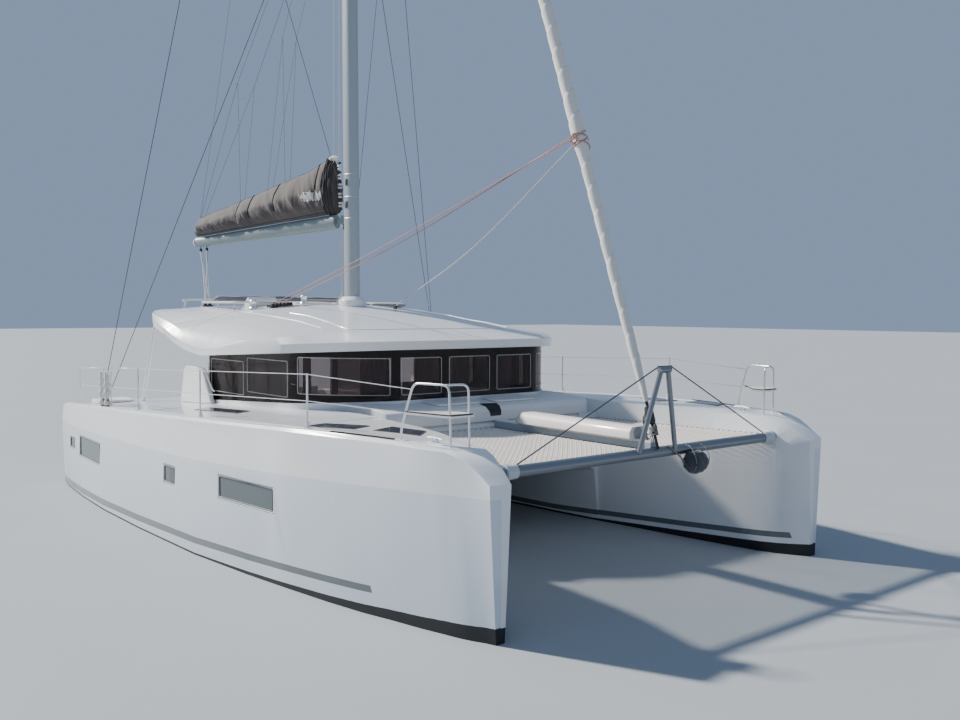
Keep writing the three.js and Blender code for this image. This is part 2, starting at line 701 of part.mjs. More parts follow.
function saloonDoor() {
  const { x0, x1, y0, y1, z0, z1 } = DOOR;
  return softBox(x0, x1, y0, y1, z0, z1, 8);
}

place("aft_bulkhead", aftBulkhead(), GELCOAT);
place("saloon_door", saloonDoor(), DARK_GLASS);

// Saloon furniture, seen through the glass
function saloonSettee() {
  const low = FLOOR_Z + FIT;
  const back = SEAM_Y - BRIDGE_WALL - 2 * FIT;
  return join(
    softBox(-900, 1650, 1000, back, low, 1340),
    softBox(-900, 1650, back - 130, back, low, 1790),
    softBox(1100, 1650, -250, back, low, 1340),
    softBox(1540, 1650, -250, back, low, 1790),
  );
}

const table = (x, y, halfX, halfY, floor, top) =>
  join(
    softBox(x - halfX, x + halfX, y - halfY, y + halfY, top - 36, top, 70),
    rod([x, y, floor + FIT], [x, y, top - 20], 45, 14),
    rod([x, y, floor + FIT], [x, y, floor + 25], 190, 18),
  );

place("saloon_settee", saloonSettee(), CUSHION);
place("saloon_table", table(380, 420, 480, 330, FLOOR_Z, 1610), TIMBER);
place("galley_counter", softBox(-1700, 500, -1580, -1000, FLOOR_Z + FIT, 1790, 50), TIMBER);

// Cockpit
const COCKPIT_FLOOR_Z = FLOOR_Z + 20;

function cockpitBench() {
  const aft = DECKED_X + 125;
  return join(
    softBox(aft, aft + 560, -1400, 1400, COCKPIT_FLOOR_Z + FIT, 1340),
    softBox(aft, aft + 130, -1400, 1400, COCKPIT_FLOOR_Z + FIT, 1760),
  );
}

place("cockpit_bench", cockpitBench(), CUSHION);
place("cockpit_table", table(-3500, 850, 420, 520, COCKPIT_FLOOR_Z, 1640), TIMBER);

// Posts that carry the roof's aft corners, and fin panels at the deckhouse's aft corners
const onTop = (geometry) => cut(geometry, roofShape.clone().translate(0, 0, FIT));
const onDeck = (geometry) => cut(geometry, ...deckBelow);
const underRoof = (geometry) => cut(geometry, roofAbove, mirrored(roofAbove, -1));

const FIN = [
  [-2880, 1700], [-2700, 2400], [-2620, 2440], [-2000, 2440], [-1900, 2400], [-1640, 1980], [-1480, 1700],
];

for (const { side, s } of SIDES) {
  const post = underRoof(onDeck(rod([-4250, 2720, 1500], [-3560, 2660, 3330], 38, 12)));
  place("roof_post_" + side, mirrored(post, s), GELCOAT);
  const fin = onDeck(sidePlate(FIN, HOUSE_Y + 40, HOUSE_Y + 130));
  place("fin_panel_" + side, mirrored(fin, s), GELCOAT);
}

// Helm station on steps beside the doorway, under its opening in the roof
const TOP_Z = 3380; // inside the roof, where its fittings are trimmed
const HELM = { x: -2400, y: -1300, z: 3200, half: 270, radius: 330 };
const PLATFORM_Z = 2250;
const HELM_STEPS = [
  [-2068, COCKPIT_FLOOR_Z + FIT], [-2068, 1810], [-2015, 1810], [-2015, PLATFORM_Z],
  [-3420, PLATFORM_Z], [-3420, 1800], [-3660, 1800], [-3660, 1360], [-3900, 1360],
  [-3900, COCKPIT_FLOOR_Z + FIT],
];

const helmPlatform = () => sidePlate(HELM_STEPS, -1545, -1010);

function helmConsole() {
  const floor = PLATFORM_Z + FIT;
  const outline = [
    [-2060, floor], [-2060, 3600], [-2130, 3650], [-2250, 3560], [-2330, 3340], [-2300, 3000], [-2210, 2900],
    [-2210, floor],
  ];
  const shaft = rod([-2200, HELM.y, HELM.z], [HELM.x + 35, HELM.y, HELM.z], 22, 12);
  return join(sidePlate(outline, HELM.y - HELM.half, HELM.y + HELM.half), shaft);
}

function steeringWheel() {
  const rim = new THREE.TorusGeometry(HELM.radius, 15, 8, 32).rotateY(Math.PI / 2);
  const spokes = [0, 1, 2].map((i) => {
    const turn = (i * Math.PI) / 3;
    const tip = [0, HELM.radius * Math.cos(turn), HELM.radius * Math.sin(turn)];
    return rod(tip.map((v) => -v), tip, 9, 8);
  });
  const hub = rod([-24, 0, 0], [24, 0, 0], 45, 14);
  return join(rim, hub, ...spokes).translate(HELM.x, HELM.y, HELM.z);
}

const helmSeat = () =>
  join(
    softBox(-3400, -2960, -1580, -1020, PLATFORM_Z + FIT, 2960, 50),
    softBox(-3400, -3300, -1580, -1020, PLATFORM_Z + FIT, 3420, 30),
  );

const sunLounge = () =>
  onTop(join(
    softBox(-3650, -2150, -600, 1900, TOP_Z, 3590, 120),
    softBox(-3700, -3560, -600, 1900, TOP_Z, 3640, 60),
  ));

// The folded sun awning lies in its cover on a low hoop.
function foldedBimini() {
  const hoop = bentTube([
    [-3930, -2040, 3290], [-3935, -1950, 3605], [-3935, 1950, 3605], [-3930, 2040, 3290],
  ], 17, 90, 10);
  const roll = rod([-3935, -1400, 3618], [-3935, 1750, 3618], 88, 14);
  return onTop(join(hoop, roll));
}

place("helm_platform", helmPlatform(), GELCOAT);
place("helm_console", helmConsole(), GELCOAT);
place("steering_wheel", steeringWheel(), STAINLESS);
place("helm_seat", helmSeat(), CUSHION);
place("sun_lounge", sunLounge(), CUSHION);
place("folded_bimini", foldedBimini(), CANVAS);

// Mast, collar and spreaders
const mastX = (z) => MAST_X - MAST_RAKE * (z - MAST_STEP_Z);

// An oval tube round the mast's raked axis.
const upright = (rx, ry, z0, z1, sides = 20) =>
  loft([z0, z1].map((z) => circle(sides, rx, ry).map(([x, y]) => [mastX(z) + x, y, z])));

function mast() {
  const [rx, ry] = MAST_RADII;
  const tube = upright(rx, ry, TOP_Z, MAST_TOP_Z);
  const top = mastX(MAST_TOP_Z);
  const masthead = box(top - 260, top + 240, -70, 70, MAST_TOP_Z - 40, MAST_TOP_Z + 110);
  const [px, , pz] = BOOM_PIVOT;
  const front = mastX(pz) - rx + 30;
  const bracket = join(
    box(px - 30, front, -45, 45, pz - 105, pz - 75),
    box(px - 30, front, -45, 45, pz + 75, pz + 105),
    rod([px, 0, pz - 90], [px, 0, pz + 90], 14, 12),
  );
  return onTop(join(tube, masthead, bracket));
}

function mastCollar() {
  const [rx, ry] = MAST_RADII;
  const ring = (grow, z) => circle(24, rx + grow, ry + grow).map(([x, y]) => [mastX(z) + x, y, z]);
  const outer = loft([ring(120, TOP_Z), ring(110, MAST_STEP_Z + 40), ring(40, MAST_STEP_Z + 110)]);
  return onTop(cut(outer, upright(rx + FIT, ry + FIT, 3000, 5000)));
}

// Both spreaders are carried by one collar that clasps the mast.
function spreaders() {
  const [rx, ry] = MAST_RADII;
  const [z, x] = [SPREADER_Z, mastX(SPREADER_Z)];
  const [tipX, tipY] = SPREADER_TIP;
  const arms = SIDES.map(({ s }) =>
    loft([
      circle(10, 60, 20).map(([a, b]) => [x - 20 + a, s * (ry + 10), z + b]),
      circle(10, 34, 14).map(([a, b]) => [tipX + a, s * tipY, z + 60 + b]),
    ]));
  const collar = upright(rx + 22, ry + 22, z - 60, z + 60);
  return cut(join(collar, ...arms), upright(rx + FIT, ry + FIT, z - 200, z + 200));
}

place("mast", mast(), ALLOY);
place("mast_collar", mastCollar(), GELCOAT);
place("spreaders", spreaders(), ALLOY);

// Shrouds: from one chainplate on each deck edge to the mast
const WIRE = 7;

function shrouds() {
  const { cap: [capX, capY], lower: [lowX, lowY], z } = CHAINPLATE;
  const [, ry] = MAST_RADII;
  const foot = z + 117;
  const [tipX, tipY, tipZ] = [SPREADER_TIP[0], SPREADER_TIP[1] + 22, SPREADER_Z + 60];
  const tip = [tipX, tipY, tipZ];
  const plate = slab([
    [capX - 50, capY - 14], [lowX + 50, lowY - 14], [lowX + 50, lowY + 14], [capX - 50, capY + 14],
  ], z - 80, z + 130);
  return join(
    onDeck(plate),
    rod([tipX, tipY, tipZ - 25], [tipX, tipY, tipZ + 25], 15, 12),
    rod([capX, capY, foot], tip, WIRE, 6),
    rod(tip, [mastX(HOUNDS_Z) - 40, ry + 4, HOUNDS_Z], WIRE, 6),
    rod([lowX, lowY, foot], [mastX(SPREADER_Z) - 30, ry + 4, SPREADER_Z - 150], WIRE, 6),
  );
}

for (const { side, s } of SIDES) place("shrouds_" + side, mirrored(shrouds(), s), STAINLESS);

// Headsail rolled round its stay, and the drum that turns it
const stayDirection = vector(STAY_HEAD).sub(vector(STAY_FOOT)).normalize();
const stayAt = (distance) => vector(STAY_FOOT).addScaledVector(stayDirection, distance);
const STAY_LENGTH = vector(STAY_HEAD).distanceTo(vector(STAY_FOOT));

function turned(profile, start, sides = 14) {
  const points = profile.map(([radius, distance]) => new THREE.Vector2(radius, distance));
  const turn = new THREE.Quaternion().setFromUnitVectors(new THREE.Vector3(0, 1, 0), stayDirection);
  return new THREE.LatheGeometry(points, sides).applyQuaternion(turn).translate(...start.toArray());
}

const ROLL_START = 530;
const aboveBeam = rod([BEAM.x, -2600, BEAM.z], [BEAM.x, 2600, BEAM.z], BEAM.r + FIT, 20);

const furledGenoa = () =>
  turned([
    [0, 0], [34, 0], [46, 210], [62, 600], [72, 1500], [76, 2700], [84, 3350], [104, 3600], [98, 3900],
    [92, 4300], [88, 6000], [80, 12500], [58, 17800], [22, 18700], [9, 18750],
    [9, STAY_LENGTH - ROLL_START], [0, STAY_LENGTH - ROLL_START],
  ], stayAt(ROLL_START));

const furlerDrum = () =>
  cut(turned([
    [0, 0], [18, 0], [18, 320], [40, 326], [56, 350], [58, 470], [44, 540], [20, 552], [20, ROLL_START + 78],
    [0, ROLL_START + 78],
  ], stayAt(-80 - FIT), 18), aboveBeam);

place("furled_genoa", furledGenoa(), SAILCLOTH);
place("furler_drum", furlerDrum(), BLACK);

// Front crossbeam, striker, longeron and nets
place("crossbeam", rod([BEAM.x, -BEAM.half, BEAM.z], [BEAM.x, BEAM.half, BEAM.z], BEAM.r, 20), ALLOY);

const STRIKER_TOP = [BEAM.x + 150, 2716];

function striker() {
  const [x, z] = STRIKER_TOP;
  const legs = [-1, 1].map((s) => rod([BEAM.x + 50, s * 345, BEAM.z + 20], [x, s * 62, z], 33, 12));
  const saddle = rod([x, -95, z], [x, 95, z], 42, 14);
  return cut(join(...legs, saddle), aboveBeam);
}

place("striker", striker(), ALLOY);

// A wire over the striker's saddle, down to both ends of the beam.
function strikerStay() {
  const [x, z] = STRIKER_TOP;
  const top = z + 42 + 9;
  const arms = SIDES.map(({ s }) =>
    rod([x, s * 130, top - 18], [BEAM.x + 10, s * 2300, BEAM.z + BEAM.r + 8], 9, 8));
  const crown = rod([x, -136, top - 10], [x, 136, top - 10], 9, 8);
  const saddle = rod([x, -96, z], [x, 96, z], 42 + FIT, 14);
  return cut(join(crown, ...arms), aboveBeam, saddle);
}

place("striker_stay", strikerStay(), BLACK);

// A rounded beam on a narrow spine, between the front wall and the crossbeam.
const LONGERON = { x0: 3400, x1: 5620, y: 160, z0: 1800, z1: 1985 };

function longeron() {
  const { x0, x1, y, z0, z1 } = LONGERON;
  const ring = (x, wide, top) => [
    [x, -y * wide, z0 + 30], [x, -y * wide, top - 60], [x, -y * wide + 50, top], [x, y * wide - 50, top],
    [x, y * wide, top - 60], [x, y * wide, z0 + 30], [x, y * wide - 40, z0], [x, -y * wide + 40, z0],
  ];
  const body = loft([
    ring(x0, 0.62, z1 - 90), ring(x0 + 60, 0.84, z1 - 25), ring(x0 + 160, 0.96, z1), ring(x1, 1, z1 - 12),
  ]);
  const spine = box(NACELLE_X + FIT, BEAM.x, -70, 70, BEAM.z - 10, z0 + 20);
  return cut(join(body, spine), aboveBeam);
}

place("longeron", longeron(), GELCOAT);

const NET_INNER_Y = 100;
const NET_EDGE = 25;

function net() {
  const rows = HULL_STATIONS.map((row) => [row.x, row.riseY]);
  const outer = [NACELLE_X + 20, 3300, 4000, 4600, 5000, 5450, BEAM.x - BEAM.r - 30];
  const edge = outer.map((x) => [x, along(rows, 1, x) - NET_EDGE]);
  const outline = [[outer[0], NET_INNER_Y], ...edge, [outer[outer.length - 1], NET_INNER_Y]];
  return slab(outline, NET_Z - 12, NET_Z);
}

for (const { side, s } of SIDES) place("net_" + side, mirrored(net(), s), NETTING);

// Pulpits with a small seat, and lifelines on stanchions
const RAIL_R = 13;

// Two bent tubes on three legs, with a seat across them.
function pulpit() {
  const top = 2630;
  const rear = bentTube([
    [4885, 3140, 1850], [4900, 3140, 2120], [5080, 3105, top], [5590, 3000, top], [5610, 2985, 1850],
  ], RAIL_R, 90);
  const inner = bentTube([[5540, 3008, top], [5610, 2750, top], [5615, 2735, 1850]], RAIL_R, 80);
  const seat = slab([[4975, 3160], [5520, 3050], [5650, 3010], [5650, 2700], [5420, 2720]], 2278, 2300);
  return onDeck(join(rear, inner, seat));
}

// One row per stanchion: x, and whether the top rail on to the next is a tube, a wire or left out.
const STANCHIONS = [
  [3300, "wire"],
  [550, "wire"],
  [-1870, "tube"],
  [-3270, "none"],
  [-3700, "tube"],
  [-5310, "none"],
];
const RAIL_HEIGHT = 680;
const RAIL_INSET = 110;

function lifelines() {
  const edge = HULL_STATIONS.map((row) => [row.x, row.topY - RAIL_INSET, row.topZ]);
  const at = (x, height) => [x, along(edge, 1, x), along(edge, 2, x) + height];
  const parts = STANCHIONS.flatMap(([x, rail], i) => {
    const post = rod(at(x, -120), at(x, RAIL_HEIGHT), RAIL_R, 8);
    if (i + 1 === STANCHIONS.length) return [post];
    const next = STANCHIONS[i + 1][0];
    const middle = rod(at(x, RAIL_HEIGHT / 2), at(next, RAIL_HEIGHT / 2), 5, 6);
    if (rail === "none") return [post, middle];
    const [radius, sides] = rail === "tube" ? [RAIL_R, 8] : [5, 6];
    return [post, middle, rod(at(x, RAIL_HEIGHT - 12), at(next, RAIL_HEIGHT - 12), radius, sides)];
  });
  const [x] = STANCHIONS[0];
  const forward = [
    rod(at(x, RAIL_HEIGHT - 12), [5034, 3114, 2560], 5, 6),
    rod(at(x, RAIL_HEIGHT / 2), [4938, 3132, 2290], 5, 6),
  ];
  return onDeck(join(...parts, ...forward));
}

for (const { side, s } of SIDES) {
  place("pulpit_" + side, mirrored(pulpit(), s), STAINLESS);
  place("lifelines_" + side, mirrored(lifelines(), s), STAINLESS);
}

// Boom and the bag that holds the mainsail, both swinging about the gooseneck
const boomGroup = new THREE.Group();
boomGroup.position.set(...BOOM_PIVOT);
boomGroup.rotation.set(0, -BOOM_DROOP, BOOM_SWING, "ZYX");
boat.add(boomGroup);

const BOOM_SECTION = [95, 140];

function boom() {
  const [half, tall] = BOOM_SECTION;
  const section = (x, grow) => circle(16, half * grow, tall * grow).map(([y, z]) => [x, y, z]);
  const spar = loft([
    section(-160, 0.9), section(-200, 1), section(-BOOM_LENGTH + 60, 0.74), section(-BOOM_LENGTH, 0.66),
  ]);
  const eye = cut(rod([0, 0, -68], [0, 0, 68], 42, 16), rod([0, 0, -90], [0, 0, 90], 20, 16));
  const tang = cut(box(-190, -20, -26, 26, -50, 50), rod([0, 0, -90], [0, 0, 90], 30, 16));
  return join(spar, tang, eye);
}

// One row per section of the bag: x, half width, bottom, top.
const BAG = [
  [-130, 130, 150, 1010],
  [-270, 180, 148, 1195],
  [-450, 210, 147, 1130],
  [-900, 235, 145, 1000],
  [-1700, 235, 141, 890],
  [-2700, 215, 135, 745],
  [-3700, 185, 128, 605],
  [-4480, 150, 122, 510],
  [-4600, 95, 122, 440],
];

function sailBag() {
  return loft(BAG.map(([x, half, low, high]) => {
    const mid = (low + high) / 2;
    return circle(14, 1, 1).map(([a, b]) => {
      const narrow = b > 0 ? 1 - 0.45 * b : 1;
      return [x, half * a * narrow, mid + ((high - low) / 2) * b];
    });
  }));
}

place("boom", boom(), ALLOY, boomGroup);
place("sail_bag", sailBag(), CANVAS, boomGroup);

// Lids over the engines, and the boarding ladder
const LID = { x0: -4950, x1: -4330, y0: 2790, y1: 3420, z: 1735, clear: 6 };

function engineLid() {
  const { x0, x1, y0, y1, z, clear } = LID;
  const deck = hullShape.clone().translate(0, 0, clear);
  return cut(softBox(x0, x1, y0, y1, 1500, z, 70), deck);
}

for (const { side, s } of SIDES) place("engine_lid_" + side, mirrored(engineLid(), s), GELCOAT);

function ladder() {
  const { x, y, half, z0, z1 } = LADDER;
  const lean = 150;
  const rails = [y - half, y + half].map((yy) => rod([x, yy, z0], [x + lean, yy, z1], 14, 8));
  const rungs = [0.08, 0.36, 0.64, 0.92].map((part) => {
    const [cx, cz] = [x + lean * part, z0 + (z1 - z0) * part];
    return box(cx - 32, cx + 32, y - half - 4, y + half + 4, cz - 9, cz + 9);
  });
  const pin = rod([x, y - half - 34, z0], [x, y + half + 34, z0], 9, 10);
  return join(...rails, ...rungs, pin);
}

place("boarding_ladder", ladder(), STAINLESS);

// A covered bundle of line lashed under the crossbeam
function bundle() {
  const lump = new THREE.SphereGeometry(1, 14, 10).scale(140, 240, 170);
  return cut(lump.translate(BEAM.x + 120, 675, 1505), aboveBeam);
}

place("line_bundle", bundle(), BLACK);

export default boat;
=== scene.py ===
"""Looks of a moored sailing catamaran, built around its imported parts.

Metres. +X runs to the bow, +Y to port and +Z up, with z = 0 at the waterline.
"""

import json
import logging
import math
from collections.abc import Iterable, Sequence
from dataclasses import dataclass
from enum import Enum

import bmesh
import bpy
from mathutils import Matrix, Vector, noise
from mathutils.bvhtree import BVHTree

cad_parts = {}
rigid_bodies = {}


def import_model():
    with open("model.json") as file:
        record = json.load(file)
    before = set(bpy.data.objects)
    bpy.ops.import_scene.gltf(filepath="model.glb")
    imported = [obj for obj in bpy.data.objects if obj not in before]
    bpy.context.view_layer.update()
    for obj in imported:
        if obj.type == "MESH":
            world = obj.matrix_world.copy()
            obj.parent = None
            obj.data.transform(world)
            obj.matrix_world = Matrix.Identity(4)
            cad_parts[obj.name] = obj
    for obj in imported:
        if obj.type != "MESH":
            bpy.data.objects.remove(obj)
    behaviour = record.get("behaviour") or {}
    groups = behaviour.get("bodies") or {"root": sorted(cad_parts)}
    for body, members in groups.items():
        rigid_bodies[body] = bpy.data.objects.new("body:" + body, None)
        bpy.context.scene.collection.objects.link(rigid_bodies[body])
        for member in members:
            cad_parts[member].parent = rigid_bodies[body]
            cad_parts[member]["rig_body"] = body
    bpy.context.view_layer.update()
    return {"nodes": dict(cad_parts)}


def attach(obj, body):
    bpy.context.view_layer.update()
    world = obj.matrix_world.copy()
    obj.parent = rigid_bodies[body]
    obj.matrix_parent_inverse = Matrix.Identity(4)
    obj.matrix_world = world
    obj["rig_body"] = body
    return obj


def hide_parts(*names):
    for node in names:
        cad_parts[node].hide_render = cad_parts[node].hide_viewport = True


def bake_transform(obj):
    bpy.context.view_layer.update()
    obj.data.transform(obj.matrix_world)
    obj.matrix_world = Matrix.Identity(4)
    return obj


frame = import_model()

log = logging.getLogger("catamaran")

Point = Sequence[float]
Colour = tuple[float, float, float]
Corners = tuple[tuple[float, float], ...]
Terms = tuple[float, ...]
SIDES = (("port", 1), ("starboard", -1))
ROOT = "root"
WELD = 1e-5  # points nearer than this are one
FLAT_ANGLE = math.radians(0.4)


class Slot(Enum):
    """The record's material slots."""

    GELCOAT = "gelcoat"
    ANTIFOULING = "antifouling"
    BRONZE = "bronze"
    BLACK_TRIM = "black_trim"
    TINTED_GLASS = "tinted_glass"
    UPHOLSTERY = "upholstery"
    TIMBER = "timber"
    STAINLESS = "stainless"
    SPAR_ALLOY = "spar_alloy"
    RIGGING_WIRE = "rigging_wire"
    CANVAS = "canvas"
    SAILCLOTH = "sailcloth"
    NETTING = "netting"


# Shader building


class Value:
    """A socket of a material, used in plain arithmetic."""

    def __init__(self, shader: "Shader", socket: bpy.types.NodeSocket) -> None:
        """Keeps the socket and the shader that it belongs to."""
        self.shader = shader
        self.socket = socket

    def math(self, operation: str, *values: "Feed") -> "Value":
        """Adds a Math node.

        Args:
            operation: The Math node's operation.
            values: What goes into its sockets, in order.

        Returns:
            The node's result.
        """
        return self.shader.node("ShaderNodeMath", {"operation": operation}, dict(enumerate(values)))

    def __add__(self, other: "Feed") -> "Value":
        """Sum."""
        return self.math("ADD", self, other)

    def __sub__(self, other: "Feed") -> "Value":
        """Difference."""
        return self.math("SUBTRACT", self, other)

    def __rsub__(self, other: "Feed") -> "Value":
        """Difference from a number."""
        return self.math("SUBTRACT", other, self)

    def __mul__(self, other: "Feed") -> "Value":
        """Product."""
        return self.math("MULTIPLY", self, other)

    def __abs__(self) -> "Value":
        """Size without its sign."""
        return self.math("ABSOLUTE", self)

    def __gt__(self, other: "Feed") -> "Value":
        """One where this is greater, else zero."""
        return self.math("GREATER_THAN", self, other)

    def __lt__(self, other: "Feed") -> "Value":
        """One where this is less, else zero."""
        return self.math("LESS_THAN", self, other)

    def at_least(self, low: float) -> "Value":
        """The larger of this and a number."""
        return self.math("MAXIMUM", self, low)

    def wave(self) -> "Value":
        """Its sine."""
        return self.math("SINE", self)

    def step(self, low: float, high: float) -> "Value":
        """A smooth step from 0 at low to 1 at high."""
        inputs = {"Value": self, "From Min": low, "From Max": high}
        return self.shader.node("ShaderNodeMapRange", {"interpolation_type": "SMOOTHSTEP"}, inputs)


Feed = float | Sequence[float] | Value


class Shader:
    """A material while its nodes are put together."""

    def __init__(self, name: str) -> None:
        """Makes an empty material.

        Args:
            name: Its name.
        """
        self.material = bpy.data.materials.new(name)
        self.material.use_nodes = True
        self.tree = self.material.node_tree
        self.tree.nodes.clear()
        self.place = self.node("ShaderNodeTexCoord", output="Object")

    def node(self, kind: str, settings: dict | None = None, inputs: dict | None = None,
             output: int | str = 0) -> Value:
        """Adds a node.

        Args:
            kind: The node's type.
            settings: What is set first, such as an operation.
            inputs: The value or link of each socket, by name or number.
            output: The socket that is returned.

        Returns:
            That output.
        """
        made = self.tree.nodes.new(kind)
        for key, value in (settings or {}).items():
            setattr(made, key, value)
        for key, value in (inputs or {}).items():
            self.feed(made.inputs[key], value)
        return Value(self, made.outputs[output])

    def feed(self, socket: bpy.types.NodeSocket, value: Feed) -> None:
        """Links a value to a socket, or sets the socket to it.

        Args:
            socket: The socket.
            value: A value, or a link to one.
        """
        if isinstance(value, Value):
            self.tree.links.new(value.socket, socket)
        else:
            socket.default_value = value

    def stretched(self, scale: Point) -> Value:
        """The place on the piece, scaled by axis."""
        return self.node("ShaderNodeMapping", {}, {"Vector": self.place, "Scale": scale})

    def noise(self, scale: float, detail: float = 3.0, stretch: Point = (1, 1, 1)) -> Value:
        """Noise between 0 and 1.

        Args:
            scale: Its size, in cycles per metre.
            detail: Its octaves.
            stretch: How much finer it is along each axis.

        Returns:
            The noise.
        """
        inputs = {"Vector": self.stretched(stretch), "Scale": scale, "Detail": detail}
        return self.node("ShaderNodeTexNoise", {}, inputs)

    def axis(self, name: str) -> Value:
        """One coordinate of the place on the piece."""
        return self.node("ShaderNodeSeparateXYZ", {}, {"Vector": self.place}, name)

    def mix(self, first: "Colour | Value", second: "Colour | Value", share: Feed) -> Value:
        """A colour between two others.

        Args:
            first: The colour where share is 0.
            second: The colour where share is 1.
            share: How much of the second.

        Returns:
            The mixed colour.
        """
        inputs = {0: share, 6: opaque(first), 7: opaque(second)}
        return self.node("ShaderNodeMix", {"data_type": "RGBA"}, inputs, 2)

    def surface(self, sockets: dict[str, Feed], height: Value | None = None, depth: float = 0.001) -> None:
        """Ends the material in a Principled shader.

        Args:
            sockets: The shader's sockets by name.
            height: What the bump is made from, between 0 and 1.
            depth: How deep the bump goes, in metres.
        """
        values = {**sockets, "Base Color": opaque(sockets["Base Color"])}
        if height is not None:
            values["Normal"] = self.node("ShaderNodeBump", {}, {"Height": height, "Distance": depth})
        self.end(self.node("ShaderNodeBsdfPrincipled", {}, values))

    def end(self, shader: Value) -> None:
        """Links a shader to the material's output."""
        output = self.tree.nodes.new("ShaderNodeOutputMaterial")
        self.tree.links.new(shader.socket, output.inputs["Surface"])


def opaque(colour: "Colour | Value") -> "tuple[float, ...] | Value":
    """A colour with full alpha, and a link as it is."""
    return colour if isinstance(colour, Value) else (*colour[:3], 1.0)


def polynomial(x: Value, terms: Terms) -> Value:
    """A polynomial of a value.

    Args:
        x: The value.
        terms: Its two or more terms, from the constant one up.

    Returns:
        The polynomial.
    """
    total = x * terms[-1] + terms[-2]
    for term in reversed(terms[:-2]):
        total = total * x + term
    return total


# Finishes


@dataclass(frozen=True)
class Finish:
    """A finish: what a material is called and the slot that it belongs to."""

    name: str
    slot: Slot
    colour: Colour

    def material(self) -> bpy.types.Material:
        """The finish's material, made once.

        Returns:
            The material.
        """
        found = bpy.data.materials.get(self.name)
        if found is not None:
            return found
        shader = Shader(self.name)
        self.paint(shader)
        return shader.material

    def paint(self, shader: Shader) -> None:
        """Puts the finish's nodes together."""
        raise NotImplementedError


@dataclass(frozen=True)
class Gelcoat(Finish):
    """Glossy moulded gelcoat, faintly chalked and streaked by weather."""

    stain: Colour = (0.62, 0.6, 0.55)
    roughness: float = 0.24
    grip: bool = False

    def weathered(self, shader: Shader) -> Value:
        """The gelcoat's colour with its streaks."""
        streaks = shader.noise(3.0, 4.0, (1.4, 1.4, 0.12)).step(0.56, 0.86) * 0.12
        return shader.mix(self.colour, self.stain, streaks + shader.noise(0.9, 3.0).step(0.4, 0.8) * 0.05)

    def gloss(self, shader: Shader) -> Value:
        """The gelcoat's roughness."""
        return shader.noise(7.0, 4.0) * 0.16 + (self.roughness - 0.08)

    def paint(self, shader: Shader) -> None:
        """White gelcoat, with a fine grip pattern where it is walked on.

        Args:
            shader: The material.
        """
        height = shader.noise(60.0, 2.0)
        depth = 0.00008
        if self.grip:
            height = shader.node("ShaderNodeTexVoronoi", {}, {"Vector": shader.place, "Scale": 260.0})
            depth = 0.0006
        sockets = {
            "Base Color": self.weathered(shader),
            "Roughness": self.gloss(shader),
            "Coat Weight": 0.0 if self.grip else 0.35,
            "Coat Roughness": 0.08,
        }
        shader.surface(sockets, height, depth)


